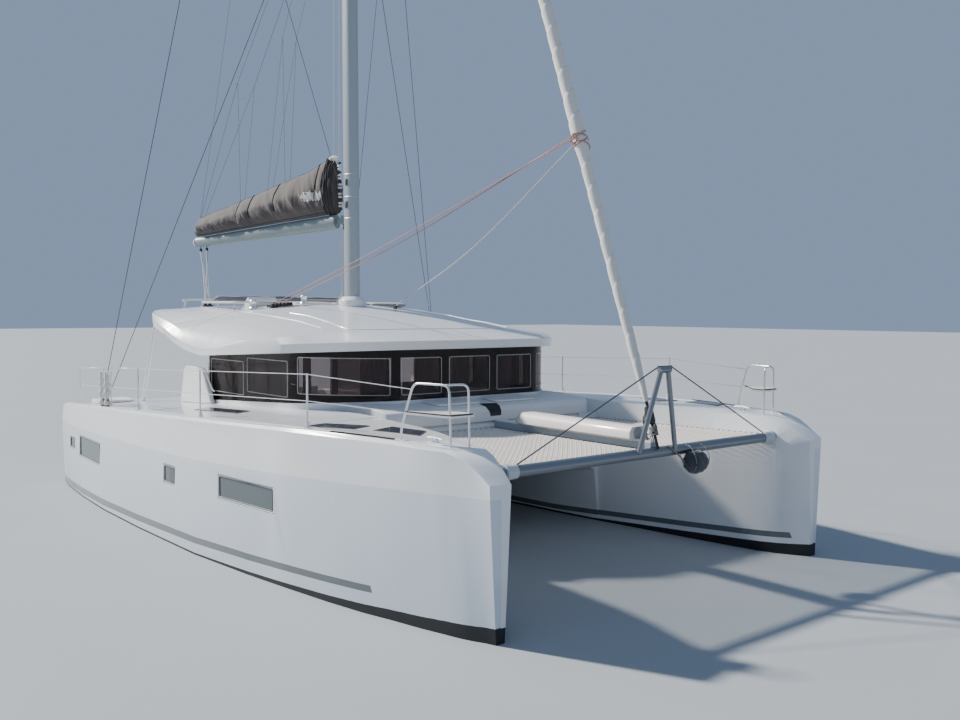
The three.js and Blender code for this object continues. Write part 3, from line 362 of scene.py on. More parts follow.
@dataclass(frozen=True)
class HullPaint(Gelcoat):
    """The topsides' gelcoat with the boot top, the grey stripe above it and painted shade below the
    knuckle.
    """

    boot: Colour = (0.01, 0.011, 0.014)
    stripe: Colour = (0.13, 0.15, 0.165)
    # painted shade: the outboard side below the knuckle is coloured darker and bluer, standing in for the
    # shade it gets from facing down
    painted_knuckle_shade: Colour = (0.6, 0.67, 0.74)
    side_y: float = 2.9  # the outboard side lies beyond this
    # Heights and widths along the hull, each as a polynomial of x from its constant term up.
    stripe_out: Terms = (0.232, 0.0185, 0.0006)
    stripe_in: Terms = (0.055, 0.0435)
    stripe_in_low: float = 0.14
    width_out: Terms = (0.0945, -0.0031)
    width_in: float = 0.082
    stripe_ends: tuple[float, float] = (4.69, 6.12)  # outboard, inboard
    stripe_slant: float = 0.35
    boot_out: Terms = (0.022, 0.0, 0.0037)
    boot_in: Terms = (-0.075, 0.0375)
    boot_in_low: float = 0.03
    knuckle: Terms = (1.3, 0.015)
    knuckle_rise: float = 0.018  # added ahead of amidships
    scuff: Colour = (0.45, 0.47, 0.49)
    scuff_x: float = -0.17
    scuff_z: tuple[float, float] = (1.3, 1.61)  # its foot and its head
    scuff_lean: float = 0.45

    def smudge(self, x: Value, y: Value, z: Value, shader: Shader) -> Value:
        """A faint scuff below the starboard gunwale.

        Args:
            x: How far forward a point lies.
            y: How far to port.
            z: Its height.
            shader: The material.

        Returns:
            The scuff's share of the colour.
        """
        low, high = self.scuff_z
        off = x - self.scuff_x - (z - (low + high) / 2) * self.scuff_lean
        near = abs(off).step(0.1, 0.0)
        tall = z.step(low - 0.06, low + 0.06) * z.step(high + 0.07, high - 0.07)
        return near * tall * (y < 0.0) * shader.noise(11.0, 4.0).step(0.35, 0.6)

    def paint(self, shader: Shader) -> None:
        """Gelcoat, stripe and boot top by height and length, with painted shade below the knuckle.

        Args:
            shader: The material.
        """
        x, y, z = (shader.axis(name) for name in "XYZ")
        outboard = abs(y) > self.side_y
        inboard = 1 - outboard
        forward = x.at_least(0.0)
        stripe_in = polynomial(x, self.stripe_in).at_least(self.stripe_in_low)
        top = polynomial(x, self.stripe_out) * outboard + stripe_in * inboard
        width = polynomial(x, self.width_out) * outboard + inboard * self.width_in
        end = outboard * self.stripe_ends[0] + inboard * self.stripe_ends[1]
        in_stripe = (z < top) * (z > top - width) * (x + (z - top) * self.stripe_slant < end)
        boot_in = polynomial(x, self.boot_in).at_least(self.boot_in_low)
        wobble = shader.noise(9.0, 2.0) * 0.006
        black = z < polynomial(forward, self.boot_out) * outboard + boot_in * inboard + wobble
        knuckle = polynomial(x, self.knuckle) + forward * self.knuckle_rise
        # painted shade: the outboard side below the knuckle line is mixed toward the painted shade colour
        lower = (z - knuckle).step(0.004, -0.004) * outboard
        coloured = shader.mix(self.weathered(shader), self.painted_knuckle_shade, lower * 0.8)
        coloured = shader.mix(coloured, self.scuff, self.smudge(x, y, z, shader) * 0.3)
        coloured = shader.mix(coloured, self.stripe, in_stripe)
        coloured = shader.mix(coloured, self.boot, black)
        sockets = {
            "Base Color": coloured,
            "Roughness": self.gloss(shader) + black * 0.3,
            "Coat Weight": 0.4 - black * 0.4,
            "Coat Roughness": 0.06,
        }
        shader.surface(sockets, shader.noise(1.6, 2.0), 0.0012)


@dataclass(frozen=True)
class UndersideShadeGelcoat(Gelcoat):
    """Gelcoat with painted shade below a level: it is coloured darker there, standing in for the shadow
    under it.
    """

    # painted shade colour for everything below the level
    low: Colour = (0.3, 0.35, 0.4)
    level: float = 1.8

    def weathered(self, shader: Shader) -> Value:
        """The gelcoat's colour above the level, with painted shade below it."""
        dark = shader.axis("Z").step(self.level + 0.004, self.level - 0.004)
        return shader.mix(super().weathered(shader), self.low, dark)


@dataclass(frozen=True)
class Paint(Finish):
    """Matt paint with brushed streaks and wear."""

    worn: Colour = (0.1, 0.1, 0.1)
    roughness: float = 0.7
    metallic: float = 0.0

    def paint(self, shader: Shader) -> None:
        """Paint that lightens in streaks.

        Args:
            shader: The material.
        """
        streaks = shader.noise(6.0, 5.0, (0.3, 1, 1)).step(0.45, 0.85)
        sockets = {
            "Base Color": shader.mix(self.colour, self.worn, streaks * 0.5),
            "Roughness": shader.noise(14.0) * 0.2 + (self.roughness - 0.1),
            "Metallic": self.metallic,
        }
        shader.surface(sockets, shader.noise(120.0, 2.0), 0.0002)


@dataclass(frozen=True)
class Metal(Finish):
    """Drawn or polished metal with fine scratches along one axis."""

    roughness: float = 0.25
    along: Point = (1, 1, 0.04)
    stain: Colour = (0.3, 0.25, 0.2)
    metallic: float = 1.0

    def paint(self, shader: Shader) -> None:
        """Metal with drawn lines and small dull spots.

        Args:
            shader: The material.
        """
        lines = shader.noise(160.0, 3.0, self.along)
        spots = shader.noise(24.0, 4.0).step(0.62, 0.8)
        sockets = {
            "Base Color": shader.mix(self.colour, self.stain, spots * 0.25),
            "Roughness": lines * 0.12 + spots * 0.15 + (self.roughness - 0.06),
            "Metallic": self.metallic,
        }
        shader.surface(sockets, lines, 0.00005)


@dataclass(frozen=True)
class Glass(Finish):
    """Tinted glass: dark and glossy, with the inside just showing through."""

    through: float = 0.35
    film: float = 0.06

    def paint(self, shader: Shader) -> None:
        """A mix of a glossy dark skin and clear glass.

        Args:
            shader: The material.
        """
        haze = shader.noise(5.0, 4.0).step(0.4, 0.9)
        sockets = {
            "Base Color": opaque(self.colour),
            "Roughness": haze * self.film + 0.03,
            "Specular IOR Level": 0.6,
        }
        skin = shader.node("ShaderNodeBsdfPrincipled", {}, sockets)
        clear = shader.node("ShaderNodeBsdfTransparent", {}, {"Color": (0.62, 0.57, 0.58, 1)})
        share = self.through - haze * 0.05
        shader.end(shader.node("ShaderNodeMixShader", {}, {0: share, 1: skin, 2: clear}))


@dataclass(frozen=True)
class Cloth(Finish):
    """Woven cloth, faded and creased."""

    faded: Colour = (0.3, 0.3, 0.3)
    weave: float = 900.0
    depth: float = 0.0006
    soiling: float = 0.5

    def cloth_colour(self, shader: Shader, share: Value) -> Value:
        """The cloth's colour, of which a share has faded."""
        return shader.mix(self.colour, self.faded, share)

    def paint(self, shader: Shader) -> None:
        """Warp and weft over soft patches of fading.

        Args:
            shader: The material.
        """
        warp = shader.axis("X") * self.weave + shader.axis("Y") * self.weave * 0.7
        weft = shader.axis("Z") * self.weave
        cells = warp.wave() * weft.wave()
        fading = shader.noise(1.8, 5.0).step(0.35, 0.75)
        creases = shader.noise(16.0, 4.0, (1, 1, 0.35))
        sockets = {
            "Base Color": self.cloth_colour(shader, fading * self.soiling + cells * 0.04),
            "Roughness": fading * 0.08 + 0.84,
            "Sheen Weight": 0.25,
        }
        shader.surface(sockets, cells * 0.25 + creases, self.depth)


@dataclass(frozen=True)
class Timber(Finish):
    """Varnished boards with grain along the boat."""

    dark: Colour = (0.16, 0.08, 0.04)

    def paint(self, shader: Shader) -> None:
        """Stretched grain with darker growth lines.

        Args:
            shader: The material.
        """
        grain = shader.noise(9.0, 6.0, (0.12, 1, 1))
        fine = shader.noise(70.0, 3.0, (0.05, 1, 1))
        sockets = {
            "Base Color": shader.mix(self.colour, self.dark, grain.step(0.35, 0.7) * 0.7 + fine * 0.2),
            "Roughness": fine * 0.15 + 0.3,
            "Coat Weight": 0.3,
        }
        shader.surface(sockets, fine, 0.0002)


@dataclass(frozen=True)
class PatchedCloth(Cloth):
    """Cloth with a frayed pale patch where it has chafed."""

    patch: Point = (-2.05, -0.25, 5.52)
    reach: tuple[float, float] = (0.34, 0.1)
    bare: Colour = (0.55, 0.52, 0.5)

    def cloth_colour(self, shader: Shader, share: Value) -> Value:
        """The cloth's colour with its patch.

        Args:
            shader: The material.
            share: How much of it has faded.

        Returns:
            The colour.
        """
        along_boom = (shader.axis("X") - self.patch[0]) * (1 / self.reach[0])
        tall = (shader.axis("Z") - self.patch[2]) * (1 / self.reach[1])
        ragged = shader.noise(16.0, 5.0) * 3.4 - 1.7
        inside = along_boom * along_boom + tall * tall + ragged < 0.8
        starboard = shader.axis("Y") < self.patch[1]
        return shader.mix(super().cloth_colour(shader, share), self.bare, inside * starboard)


@dataclass(frozen=True)
class PrintedCloth(Cloth):
    """Cloth printed with small blots."""

    blot: Colour = (0.12, 0.07, 0.06)

    def cloth_colour(self, shader: Shader, share: Value) -> Value:
        """The cloth's colour with its print."""
        cells = shader.node("ShaderNodeTexVoronoi", {}, {"Vector": shader.place, "Scale": 26.0})
        return shader.mix(super().cloth_colour(shader, share), self.blot, cells.step(0.42, 0.3))


WHITE = Gelcoat("white gelcoat", Slot.GELCOAT, (0.8, 0.81, 0.815))
DECK = Gelcoat("deck gelcoat", Slot.GELCOAT, (0.78, 0.775, 0.76), roughness=0.45, grip=True)
# the longeron's bolster, with painted shade on its underside below its level
BOLSTER = UndersideShadeGelcoat("bolster gelcoat", Slot.GELCOAT, (0.76, 0.73, 0.68), roughness=0.5)
TOPSIDES = HullPaint("topsides", Slot.GELCOAT, (0.8, 0.815, 0.83))
PALE_TUBE = Gelcoat("coated tube", Slot.GELCOAT, (0.68, 0.68, 0.66), roughness=0.35)
PALE_CASTING = Gelcoat("painted casting", Slot.GELCOAT, (0.55, 0.58, 0.6), roughness=0.4)
SEAT_BOARD = Gelcoat("seat board", Slot.GELCOAT, (0.66, 0.64, 0.6), roughness=0.5, grip=True)
ANTIFOULING = Paint("antifouling", Slot.ANTIFOULING, (0.014, 0.015, 0.018), worn=(0.05, 0.06, 0.06))
BRONZE = Metal("bronze", Slot.BRONZE, (0.5, 0.33, 0.16), roughness=0.35, stain=(0.1, 0.2, 0.15))
BLACK = Paint("black fittings", Slot.BLACK_TRIM, (0.018, 0.018, 0.02), worn=(0.06, 0.06, 0.06),
              roughness=0.45)
GLASS_BORDER = Paint("glass border", Slot.BLACK_TRIM, (0.02, 0.016, 0.016), worn=(0.03, 0.026, 0.026),
                     roughness=0.3)
GREY_TRIM = Paint("grey trim", Slot.BLACK_TRIM, (0.3, 0.32, 0.34), worn=(0.4, 0.41, 0.42), roughness=0.5)
SEAL = Paint("rubber seal", Slot.BLACK_TRIM, (0.07, 0.075, 0.085), worn=(0.14, 0.14, 0.15), roughness=0.6)
DARK_EDGE = Paint("brown edge", Slot.BLACK_TRIM, (0.07, 0.045, 0.035), worn=(0.12, 0.08, 0.06),
                  roughness=0.55)
PANE_TRIM = Paint("pane trim", Slot.BLACK_TRIM, (0.42, 0.4, 0.39), worn=(0.55, 0.53, 0.51), roughness=0.4)
GLAZING = Glass("tinted glazing", Slot.TINTED_GLASS, (0.03, 0.024, 0.025), through=0.74)
HULL_GLASS = Glass("hull window glass", Slot.TINTED_GLASS, (0.085, 0.115, 0.125), through=0.0, film=0.25)
HATCH_GLASS = Glass("hatch glass", Slot.TINTED_GLASS, (0.06, 0.065, 0.09), through=0.0, film=0.2)
STAINLESS = Metal("polished stainless", Slot.STAINLESS, (0.82, 0.83, 0.84), roughness=0.26, metallic=0.75)
WIRE = Metal("rigging wire", Slot.RIGGING_WIRE, (0.16, 0.16, 0.17), roughness=0.4)
ALLOY = Metal("spar alloy", Slot.SPAR_ALLOY, (0.4, 0.44, 0.46), roughness=0.4, stain=(0.3, 0.33, 0.35),
              metallic=0.5)
BOOM_ALLOY = Metal("boom alloy", Slot.SPAR_ALLOY, (0.26, 0.31, 0.315), roughness=0.45,
                   along=(0.04, 1, 1), metallic=0.3)
BEAM_ALLOY = Metal("beam alloy", Slot.SPAR_ALLOY, (0.24, 0.26, 0.29), roughness=0.34,
                   along=(1, 0.04, 1), metallic=0.8)
BAG_CLOTH = PatchedCloth("sail bag cloth", Slot.CANVAS, (0.062, 0.049, 0.047), faded=(0.115, 0.096, 0.092))
BAG_TRIM = Cloth("bag webbing", Slot.CANVAS, (0.02, 0.019, 0.02), faded=(0.05, 0.045, 0.045))
COVER = Cloth("dark cover cloth", Slot.CANVAS, (0.03, 0.035, 0.043), faded=(0.09, 0.1, 0.12))
AWNING_CLOTH = Cloth("awning cloth", Slot.CANVAS, (0.2, 0.21, 0.23), faded=(0.34, 0.35, 0.37))
SAIL = Cloth("sailcloth", Slot.SAILCLOTH, (0.66, 0.68, 0.68), faded=(0.4, 0.45, 0.46), soiling=0.5)
CUSHION = Cloth("cushion cloth", Slot.UPHOLSTERY, (0.4, 0.39, 0.37), faded=(0.5, 0.48, 0.45))
PRINTED = PrintedCloth("printed cushion cloth", Slot.UPHOLSTERY, (0.82, 0.74, 0.7), faded=(0.9, 0.82, 0.78))
PIPING = Cloth("cushion piping", Slot.UPHOLSTERY, (0.22, 0.21, 0.2), faded=(0.3, 0.29, 0.28))
CURTAIN = Cloth("curtain cloth", Slot.UPHOLSTERY, (0.84, 0.74, 0.7), faded=(0.9, 0.81, 0.77))
NET_CORD = Cloth("net cord", Slot.NETTING, (0.7, 0.66, 0.6), faded=(0.8, 0.77, 0.72), depth=0.0003)
ROPE = Cloth("pale rope", Slot.SAILCLOTH, (0.5, 0.47, 0.43), faded=(0.6, 0.57, 0.52), depth=0.0003)
RED_ROPE = Cloth("red fleck rope", Slot.SAILCLOTH, (0.42, 0.2, 0.16), faded=(0.58, 0.38, 0.32),
                 depth=0.0003)
FLECK_ROPE = PrintedCloth("flecked rope", Slot.CANVAS, (0.2, 0.2, 0.2), faded=(0.3, 0.3, 0.29),
                          blot=(0.02, 0.02, 0.025))
DARK_ROPE = Cloth("dark rope", Slot.CANVAS, (0.07, 0.07, 0.075), faded=(0.14, 0.14, 0.15), depth=0.0003)
TEAK = Timber("varnished timber", Slot.TIMBER, (0.3, 0.17, 0.09))


# Mesh building


def spline(points: Sequence[Point], steps: int = 6) -> list[Vector]:
    """A smooth path through points.

    Args:
        points: Where the path goes.
        steps: How many steps each stretch has.

    Returns:
        The path's points.
    """
    knots = [Vector(p) for p in points]
    knots = [knots[0] * 2 - knots[1], *knots, knots[-1] * 2 - knots[-2]]
    path = []
    for a, b, c, d in zip(knots, knots[1:], knots[2:], knots[3:]):
        for i in range(steps):
            t = i / steps
            path.append(0.5 * (2 * b + (c - a) * t + (2 * a - 5 * b + 4 * c - d) * t ** 2
                               + (3 * b - a - 3 * c + d) * t ** 3))
    return [*path, knots[-2]]


def along(rows: Sequence[Sequence[float]], column: int, x: float) -> float:
    """A value read off rows that are sorted by their first number.

    Args:
        rows: The rows.
        column: The column to read.
        x: Where to read it.

    Returns:
        The value between the two nearest rows.
    """
    for low, high in zip(rows, rows[1:]):
        if x <= high[0]:
            share = min(max((x - low[0]) / (high[0] - low[0]), 0.0), 1.0)
            return low[column] + (high[column] - low[column]) * share
    return rows[-1][column]


def ring(centre: Vector, across: Vector, up: Vector, sides: int) -> list[Vector]:
    """A circle or oval of points.

    Args:
        centre: Its middle.
        across: From the middle to its side.
        up: From the middle to its top.
        sides: How many points it has.

    Returns:
        The points.
    """
    turns = (2 * math.pi * i / sides for i in range(sides))
    return [centre + across * math.cos(turn) + up * math.sin(turn) for turn in turns]


def rounded(half: float, tall: float, radius: float, step: float = 0.06) -> list[tuple[float, float]]:
    """A closed outline of a rectangle with rounded corners.

    Args:
        half: Half its width.
        tall: Half its height.
        radius: Its corners' radius.
        step: How far apart its points are at most.

    Returns:
        The points.
    """
    corners = []
    for quarter, (u, v) in enumerate(((1, 1), (-1, 1), (-1, -1), (1, -1))):
        for i in range(5):
            turn = math.pi / 2 * (quarter + i / 4)
            corners.append((u * (half - radius) + radius * math.cos(turn),
                            v * (tall - radius) + radius * math.sin(turn)))
    outline = []
    for a, b in zip(corners, corners[1:] + corners[:1]):
        count = max(1, round(math.dist(a, b) / step))
        outline += [(a[0] + (b[0] - a[0]) * i / count, a[1] + (b[1] - a[1]) * i / count)
                    for i in range(count)]
    return outline


class Form:
    """Points and faces gathered into one mesh."""

    def __init__(self) -> None:
        """Starts empty."""
        self.points: list[Vector] = []
        self.faces: list[tuple[int, ...]] = []

    def add(self, points: Iterable[Point], faces: Iterable[Sequence[int]]) -> "Form":
        """Adds points and the faces between them.

        Args:
            points: The points.
            faces: Each face as places in that list.

        Returns:
            The form.
        """
        base = len(self.points)
        self.points.extend(Vector(p) for p in points)
        self.faces.extend(tuple(base + i for i in face) for face in faces)
        return self

    def loft(self, rings: Sequence[Sequence[Point]], closed: bool = True, capped: bool = True) -> "Form":
        """Skins rings of equally many points.

        Args:
            rings: The rings, in order.
            closed: Whether each ring meets its own start.
            capped: Whether the two end rings are filled.

        Returns:
            The form.
        """
        count = len(rings[0])
        spans = count if closed else count - 1
        faces = [
            (r * count + i, r * count + (i + 1) % count, (r + 1) * count + (i + 1) % count,
             (r + 1) * count + i)
            for r in range(len(rings) - 1) for i in range(spans)
        ]
        if capped:
            last = (len(rings) - 1) * count
            faces += [tuple(reversed(range(count))), tuple(range(last, last + count))]
        return self.add([p for each in rings for p in each], faces)

    def tube(self, path: Sequence[Point], radius: float, sides: int = 8, flat: float = 1.0,
             closed: bool = False) -> "Form":
        """Sweeps a circle along a path.

        Args:
            path: The path's points.
            radius: The tube's radius.
            sides: How many faces go round it.
            flat: Its height as a share of its width.
            closed: Whether the path meets its own start.

        Returns:
            The form.
        """
        points = [Vector(p) for p in path]
        if closed:
            points = [points[-1], *points, points[0], points[1]]
        up = None
        rings = []
        for i, point in enumerate(points):
            ahead = (points[min(i + 1, len(points) - 1)] - points[max(i - 1, 0)]).normalized()
            if up is None:
                up = Vector((0, 0, 1)) if abs(ahead.z) < 0.9 else Vector((1, 0, 0))
            across = ahead.cross(up).normalized()
            up = across.cross(ahead).normalized()
            rings.append(ring(point, across * radius, up * radius * flat, sides))
        if closed:
            return self.loft([*rings[1:-2], rings[1]], capped=False)
        return self.loft(rings)

    def turned(self, profile: Sequence[tuple[float, float]], base: Point, axis: Point = (0, 0, 1),
               sides: int = 20) -> "Form":
        """Turns a profile about an axis.

        Args:
            profile: Each ring's radius and its distance along the axis.
            base: Where distance 0 is.
            axis: The axis.
            sides: How many faces go round it.

        Returns:
            The form.
        """
        ahead = Vector(axis).normalized()
        across = ahead.orthogonal().normalized()
        up = ahead.cross(across)
        rings = [ring(Vector(base) + ahead * d, across * r, up * r, sides) for r, d in profile]
        return self.loft(rings)

    def block(self, low: Point, high: Point, place: Matrix | None = None) -> "Form":
        """Adds a box.

        Args:
            low: Its lowest corner.
            high: Its highest corner.
            place: Where it is moved to.

        Returns:
            The form.
        """
        corners = [Vector((x, y, z)) for z in (low[2], high[2])
                   for x, y in ((low[0], low[1]), (high[0], low[1]), (high[0], high[1]), (low[0], high[1]))]
        moved = [place @ corner for corner in corners] if place else corners
        return self.loft([moved[:4], moved[4:]])

    def piece(self, name: str, finish: Finish, body: str | None = ROOT, **how: float) -> bpy.types.Object:
        """Makes the form a piece of the boat.

        Args:
            name: The piece's name.
            finish: Its finish.
            body: The body that it rides on, or None to leave it on no body.
            how: The edge and crease of make_piece.

        Returns:
            The piece.
        """
        mesh = bpy.data.meshes.new(name)
        mesh.from_pydata(self.points, [], self.faces)
        return make_piece(name, mesh, finish, body, **how)


def make_piece(name: str, mesh: bpy.types.Mesh, finish: Finish, body: str | None, edge: float = 0.0,
               crease: float = 35.0) -> bpy.types.Object:
    """Welds a mesh, smooths it and puts it on its body.

    Args:
        name: The piece's name.
        mesh: Its mesh.
        finish: Its finish.
        body: The body that it rides on.
        edge: How wide its corners are rounded.
        crease: Corners sharper than this, in degrees, stay sharp or are rounded.

    Returns:
        The piece.
    """
    shape = bmesh.new()
    shape.from_mesh(mesh)
    bmesh.ops.remove_doubles(shape, verts=shape.verts, dist=WELD)
    if edge:
        bmesh.ops.dissolve_limit(shape, angle_limit=FLAT_ANGLE, verts=shape.verts, edges=shape.edges)
    bmesh.ops.recalc_face_normals(shape, faces=shape.faces)
    for face in shape.faces:
        face.smooth = True
    shape.to_mesh(mesh)
    shape.free()
    piece = bpy.data.objects.new(name, mesh)
    bpy.context.scene.collection.objects.link(piece)
    if edge:
        rounding = piece.modifiers.new("rounded edges", "BEVEL")
        rounding.width = edge
        rounding.segments = 3
        rounding.limit_method = "ANGLE"
        rounding.angle_limit = math.radians(crease)
        rounding.harden_normals = True
    else:
        mesh.set_sharp_from_angle(angle=math.radians(crease))
    mesh.materials.append(finish.material())
    if body is not None:
        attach(piece, body)
    return piece


def dress(node: str, finish: Finish, edge: float = 0.0, crease: float = 35.0) -> bpy.types.Object:
    """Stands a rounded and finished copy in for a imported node.

    Args:
        node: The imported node.
        finish: The copy's finish.
        edge: How wide its corners are rounded.
        crease: Corners sharper than this, in degrees, are rounded.

    Returns:
        The copy.
    """
    source = frame["nodes"][node]
    mesh = bpy.data.meshes.new(node + "_finished")
    mesh.from_pydata([v.co for v in source.data.vertices], [], [p.vertices for p in source.data.polygons])
    piece = make_piece(node + "_finished", mesh, finish, source["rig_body"], edge, crease)
    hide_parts(node)
    return piece


class Skin:
    """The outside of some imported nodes, on which fittings are set."""

    def __init__(self, *nodes: str) -> None:
        """Takes the skins of the nodes named."""
        form = Form()
        for node in nodes:
            data = frame["nodes"][node].data
            form.add([v.co for v in data.vertices], [p.vertices for p in data.polygons])
        self.tree = BVHTree.FromPolygons(form.points, form.faces)

    def hit(self, start: Point, toward: Point) -> Vector | None:
        """The first point of the skin from a start in a direction."""
        return self.tree.ray_cast(Vector(start), Vector(toward))[0]

    def below(self, x: float, y: float, top: float = 9.0) -> Vector:
        """The highest point of the skin at x and y, under a height."""
        return self.tree.ray_cast(Vector((x, y, top)), Vector((0, 0, -1)))[0]

    def abeam(self, x: float, z: float, s: int) -> Vector:
        """The point of the skin furthest out at x and z, on the side s."""
        return self.tree.ray_cast(Vector((x, s * 9.0, z)), Vector((0, -s, 0)))[0]

    def laid(self, path: Iterable[Point], lift: float = 0.0) -> list[Vector]:
        """A path dropped onto the skin.

        Args:
            path: The path's points, of which x and y are used.
            lift: How far above the skin it lies.

        Returns:
            The points on the skin.
        """
        return [self.below(p[0], p[1]) + Vector((0, 0, lift)) for p in path]


# Camera and stage


@dataclass(frozen=True)
class Studio:
    """The camera at the photograph's angle, the floor at the waterline and the lights."""

    position: Point = (13.707, -9.261, 3.432)
    yaw: float = 50.52
    pitch: float = -2.95
    roll: float = 0.28
    focal_px: float = 961.2
    image_width: float = 960.0
    sensor: float = 36.0
    floor_half: float = 160.0
    floor_tones: tuple[Colour, Colour] = ((0.37, 0.4, 0.425), (0.34, 0.37, 0.395))
    toward_sun: Point = (-0.72, -0.36, 0.6)
    sun_energy: float = 7.8
    sun_width: float = 3.0
    sun_colour: Colour = (1.0, 0.965, 0.9)
    sky_colour: Colour = (0.5, 0.68, 1.0)
    sky_strength: float = 0.48

    def camera(self) -> None:
        """Makes the scene's camera."""
        data = bpy.data.cameras.new("camera")
        data.sensor_width = self.sensor
        data.lens = self.sensor * self.focal_px / self.image_width
        data.clip_end = 2000
        made = bpy.data.objects.new("camera", data)
        bpy.context.scene.collection.objects.link(made)
        turn = (Matrix.Rotation(math.radians(self.yaw), 4, "Z")
                @ Matrix.Rotation(math.radians(90 + self.pitch), 4, "X")
                @ Matrix.Rotation(math.radians(self.roll), 4, "Z"))
        made.matrix_world = Matrix.Translation(self.position) @ turn
        bpy.context.scene.camera = made

    def floor(self) -> None:
        """Makes the plain pale floor at the waterline."""
        half = self.floor_half
        corners = [(-half, -half, 0), (half, -half, 0), (half, half, 0), (-half, half, 0)]
        mesh = bpy.data.meshes.new("floor")
        mesh.from_pydata(corners, [], [(0, 1, 2, 3)])
        floor = bpy.data.objects.new("floor", mesh)
        bpy.context.scene.collection.objects.link(floor)
        shader = Shader("pale floor")
        tone = shader.mix(*self.floor_tones, shader.noise(0.4, 2.0))
        shader.surface({"Base Color": tone, "Roughness": 0.75})
        mesh.materials.append(shader.material)

    def light(self) -> None:
        """Makes a soft sun from the starboard quarter and a blue sky."""
        sun = bpy.data.lights.new("key", "SUN")
        sun.energy = self.sun_energy
        sun.angle = math.radians(self.sun_width)
        sun.color = self.sun_colour
        key = bpy.data.objects.new("key", sun)
        key.rotation_mode = "QUATERNION"
        key.rotation_quaternion = Vector(self.toward_sun).to_track_quat("Z", "Y")
        bpy.context.scene.collection.objects.link(key)
        world = bpy.data.worlds.new("sky")
        world.use_nodes = True
        background = world.node_tree.nodes["Background"]
        background.inputs["Color"].default_value = opaque(self.sky_colour)
        background.inputs["Strength"].default_value = self.sky_strength
        bpy.context.scene.world = world


# Hulls


@dataclass(frozen=True)
class HullWindow:
    """A recessed hull window: its ends, bottom and top, and whether it is a small one."""

    aft: float
    fore: float
    low: float
    high: float
    small: bool = False


@dataclass(frozen=True)
class Hulls:
    """Both hulls, their windows, underwater gear and the boarding ladder."""

    windows: tuple[HullWindow, ...] = (
        HullWindow(1.53, 2.905, 0.88, 1.217),
        HullWindow(-0.265, 0.165, 0.852, 1.14, small=True),
        HullWindow(-4.61, -3.215, 0.712, 1.108),
        HullWindow(-5.39, -4.99, 0.78, 1.01, small=True),
    )
    inset: float = 0.03
    glass: float = 0.008
    # One row per place along the gunwale: x, half breadth of the deck's edge.
    gunwale: tuple[tuple[float, float], ...] = (
        (-5.3, 3.61), (-2.9, 3.725), (-1.2, 3.76), (0.9, 3.725), (2.3, 3.64), (3.3, 3.54), (4.0, 3.41),
        (4.6, 3.29), (5.0, 3.225), (5.45, 3.2), (5.75, 3.115),
    )
    # One row per line along the deck's edge: how far inboard it runs, radius, whether it is dark.
    edge_lines: tuple[tuple[float, float, bool], ...] = ((0.085, 0.012, True), (0.13, 0.009, False))

    def build(self) -> None:
        """Makes every piece of the hulls."""
        for side, s in SIDES:
            dress(f"hull_{side}", TOPSIDES, edge=0.02, crease=24)
            dress(f"keel_{side}", ANTIFOULING)
            dress(f"saildrive_{side}", ANTIFOULING)
            dress(f"rudder_{side}", ANTIFOULING)
            dress(f"propeller_{side}", BRONZE)
            dress(f"engine_lid_{side}", DECK, edge=0.006)
            skin = Skin(f"hull_{side}")
            for number, window in enumerate(self.windows):
                self.pane(skin, window, s, f"{side}_{number}")
            self.deck_edge(skin, side, s)
        dress("boarding_ladder", STAINLESS)

    def pane(self, skin: Skin, window: HullWindow, s: int, suffix: str) -> None:
        """Sets a pane and its seal in a recess.

        Args:
            skin: The hull's skin.
            window: The window.
            s: The hull's side, 1 for port.
            suffix: What ends the pieces' names.
        """
        ends = (window.aft, window.fore, window.low, window.high)
        out = Vector((0, s, 0))
        floor = [skin.abeam(x, z, s) for x, z in self.outline(*ends, self.inset)]
        face = [point + out * self.glass for point in floor]
        Form().loft([floor, face]).piece(f"hull_window_{suffix}", HULL_GLASS)
        seal = [point + out * 0.002 for point in face]
        Form().tube(seal, 0.009, 6, closed=True).piece(f"hull_window_seal_{suffix}", SEAL)
        middle = sum(floor, Vector()) / len(floor)
        wide = 1 + (self.inset - 0.009) / ((window.fore - window.aft) / 2 - self.inset)
        tall = 1 + (self.inset - 0.009) / ((window.high - window.low) / 2 - self.inset)
        lip = [Vector((middle.x + (p.x - middle.x) * wide, p.y, middle.z + (p.z - middle.z) * tall))
               + out * 0.016 for p in floor]
        Form().loft([lip, face], capped=False).piece(f"hull_window_bevel_{suffix}", WHITE)
        if window.small:
            forward = (window.aft * 0.58 + window.fore * 0.42, *ends[1:])
            near = [skin.abeam(x, z, s) + out * (self.glass + 0.001)
                    for x, z in self.outline(*forward, 0.042)]
            form = Form().loft([near, [point + out * 0.004 for point in near]])
            form.piece(f"hull_port_{suffix}", HATCH_GLASS)

    def outline(self, aft: float, fore: float, low: float, high: float, inset: float) -> list[Point]:
        """A rounded rectangle of x and z, inset from a recess's edges.

        Args:
            aft: The recess's aft end.
            fore: Its forward end.
            low: Its bottom.
            high: Its top.
            inset: How far inside them the outline runs.

        Returns:
            The outline.
        """
        middle, half = (aft + fore) / 2, (fore - aft) / 2 - inset
        level, tall = (low + high) / 2, (high - low) / 2 - inset
        return [(middle + u, level + v) for u, v in rounded(half, tall, 0.025)]

    def deck_edge(self, skin: Skin, side: str, s: int) -> None:
        """Lays the gutter and the bead that run inside the gunwale.

        Args:
            skin: The hull's skin.
            side: The hull's side.
            s: Its sign, 1 for port.
        """
        for number, (inboard, radius, dark) in enumerate(self.edge_lines):
            path = spline([(x, s * (y - inboard), 0) for x, y in self.gunwale])
            form = Form().tube(skin.laid(path, 0.001), radius, 6, 0.5)
            form.piece(f"deck_edge_{side}_{number}", GREY_TRIM if dark else WHITE)


# Deck and deckhouse


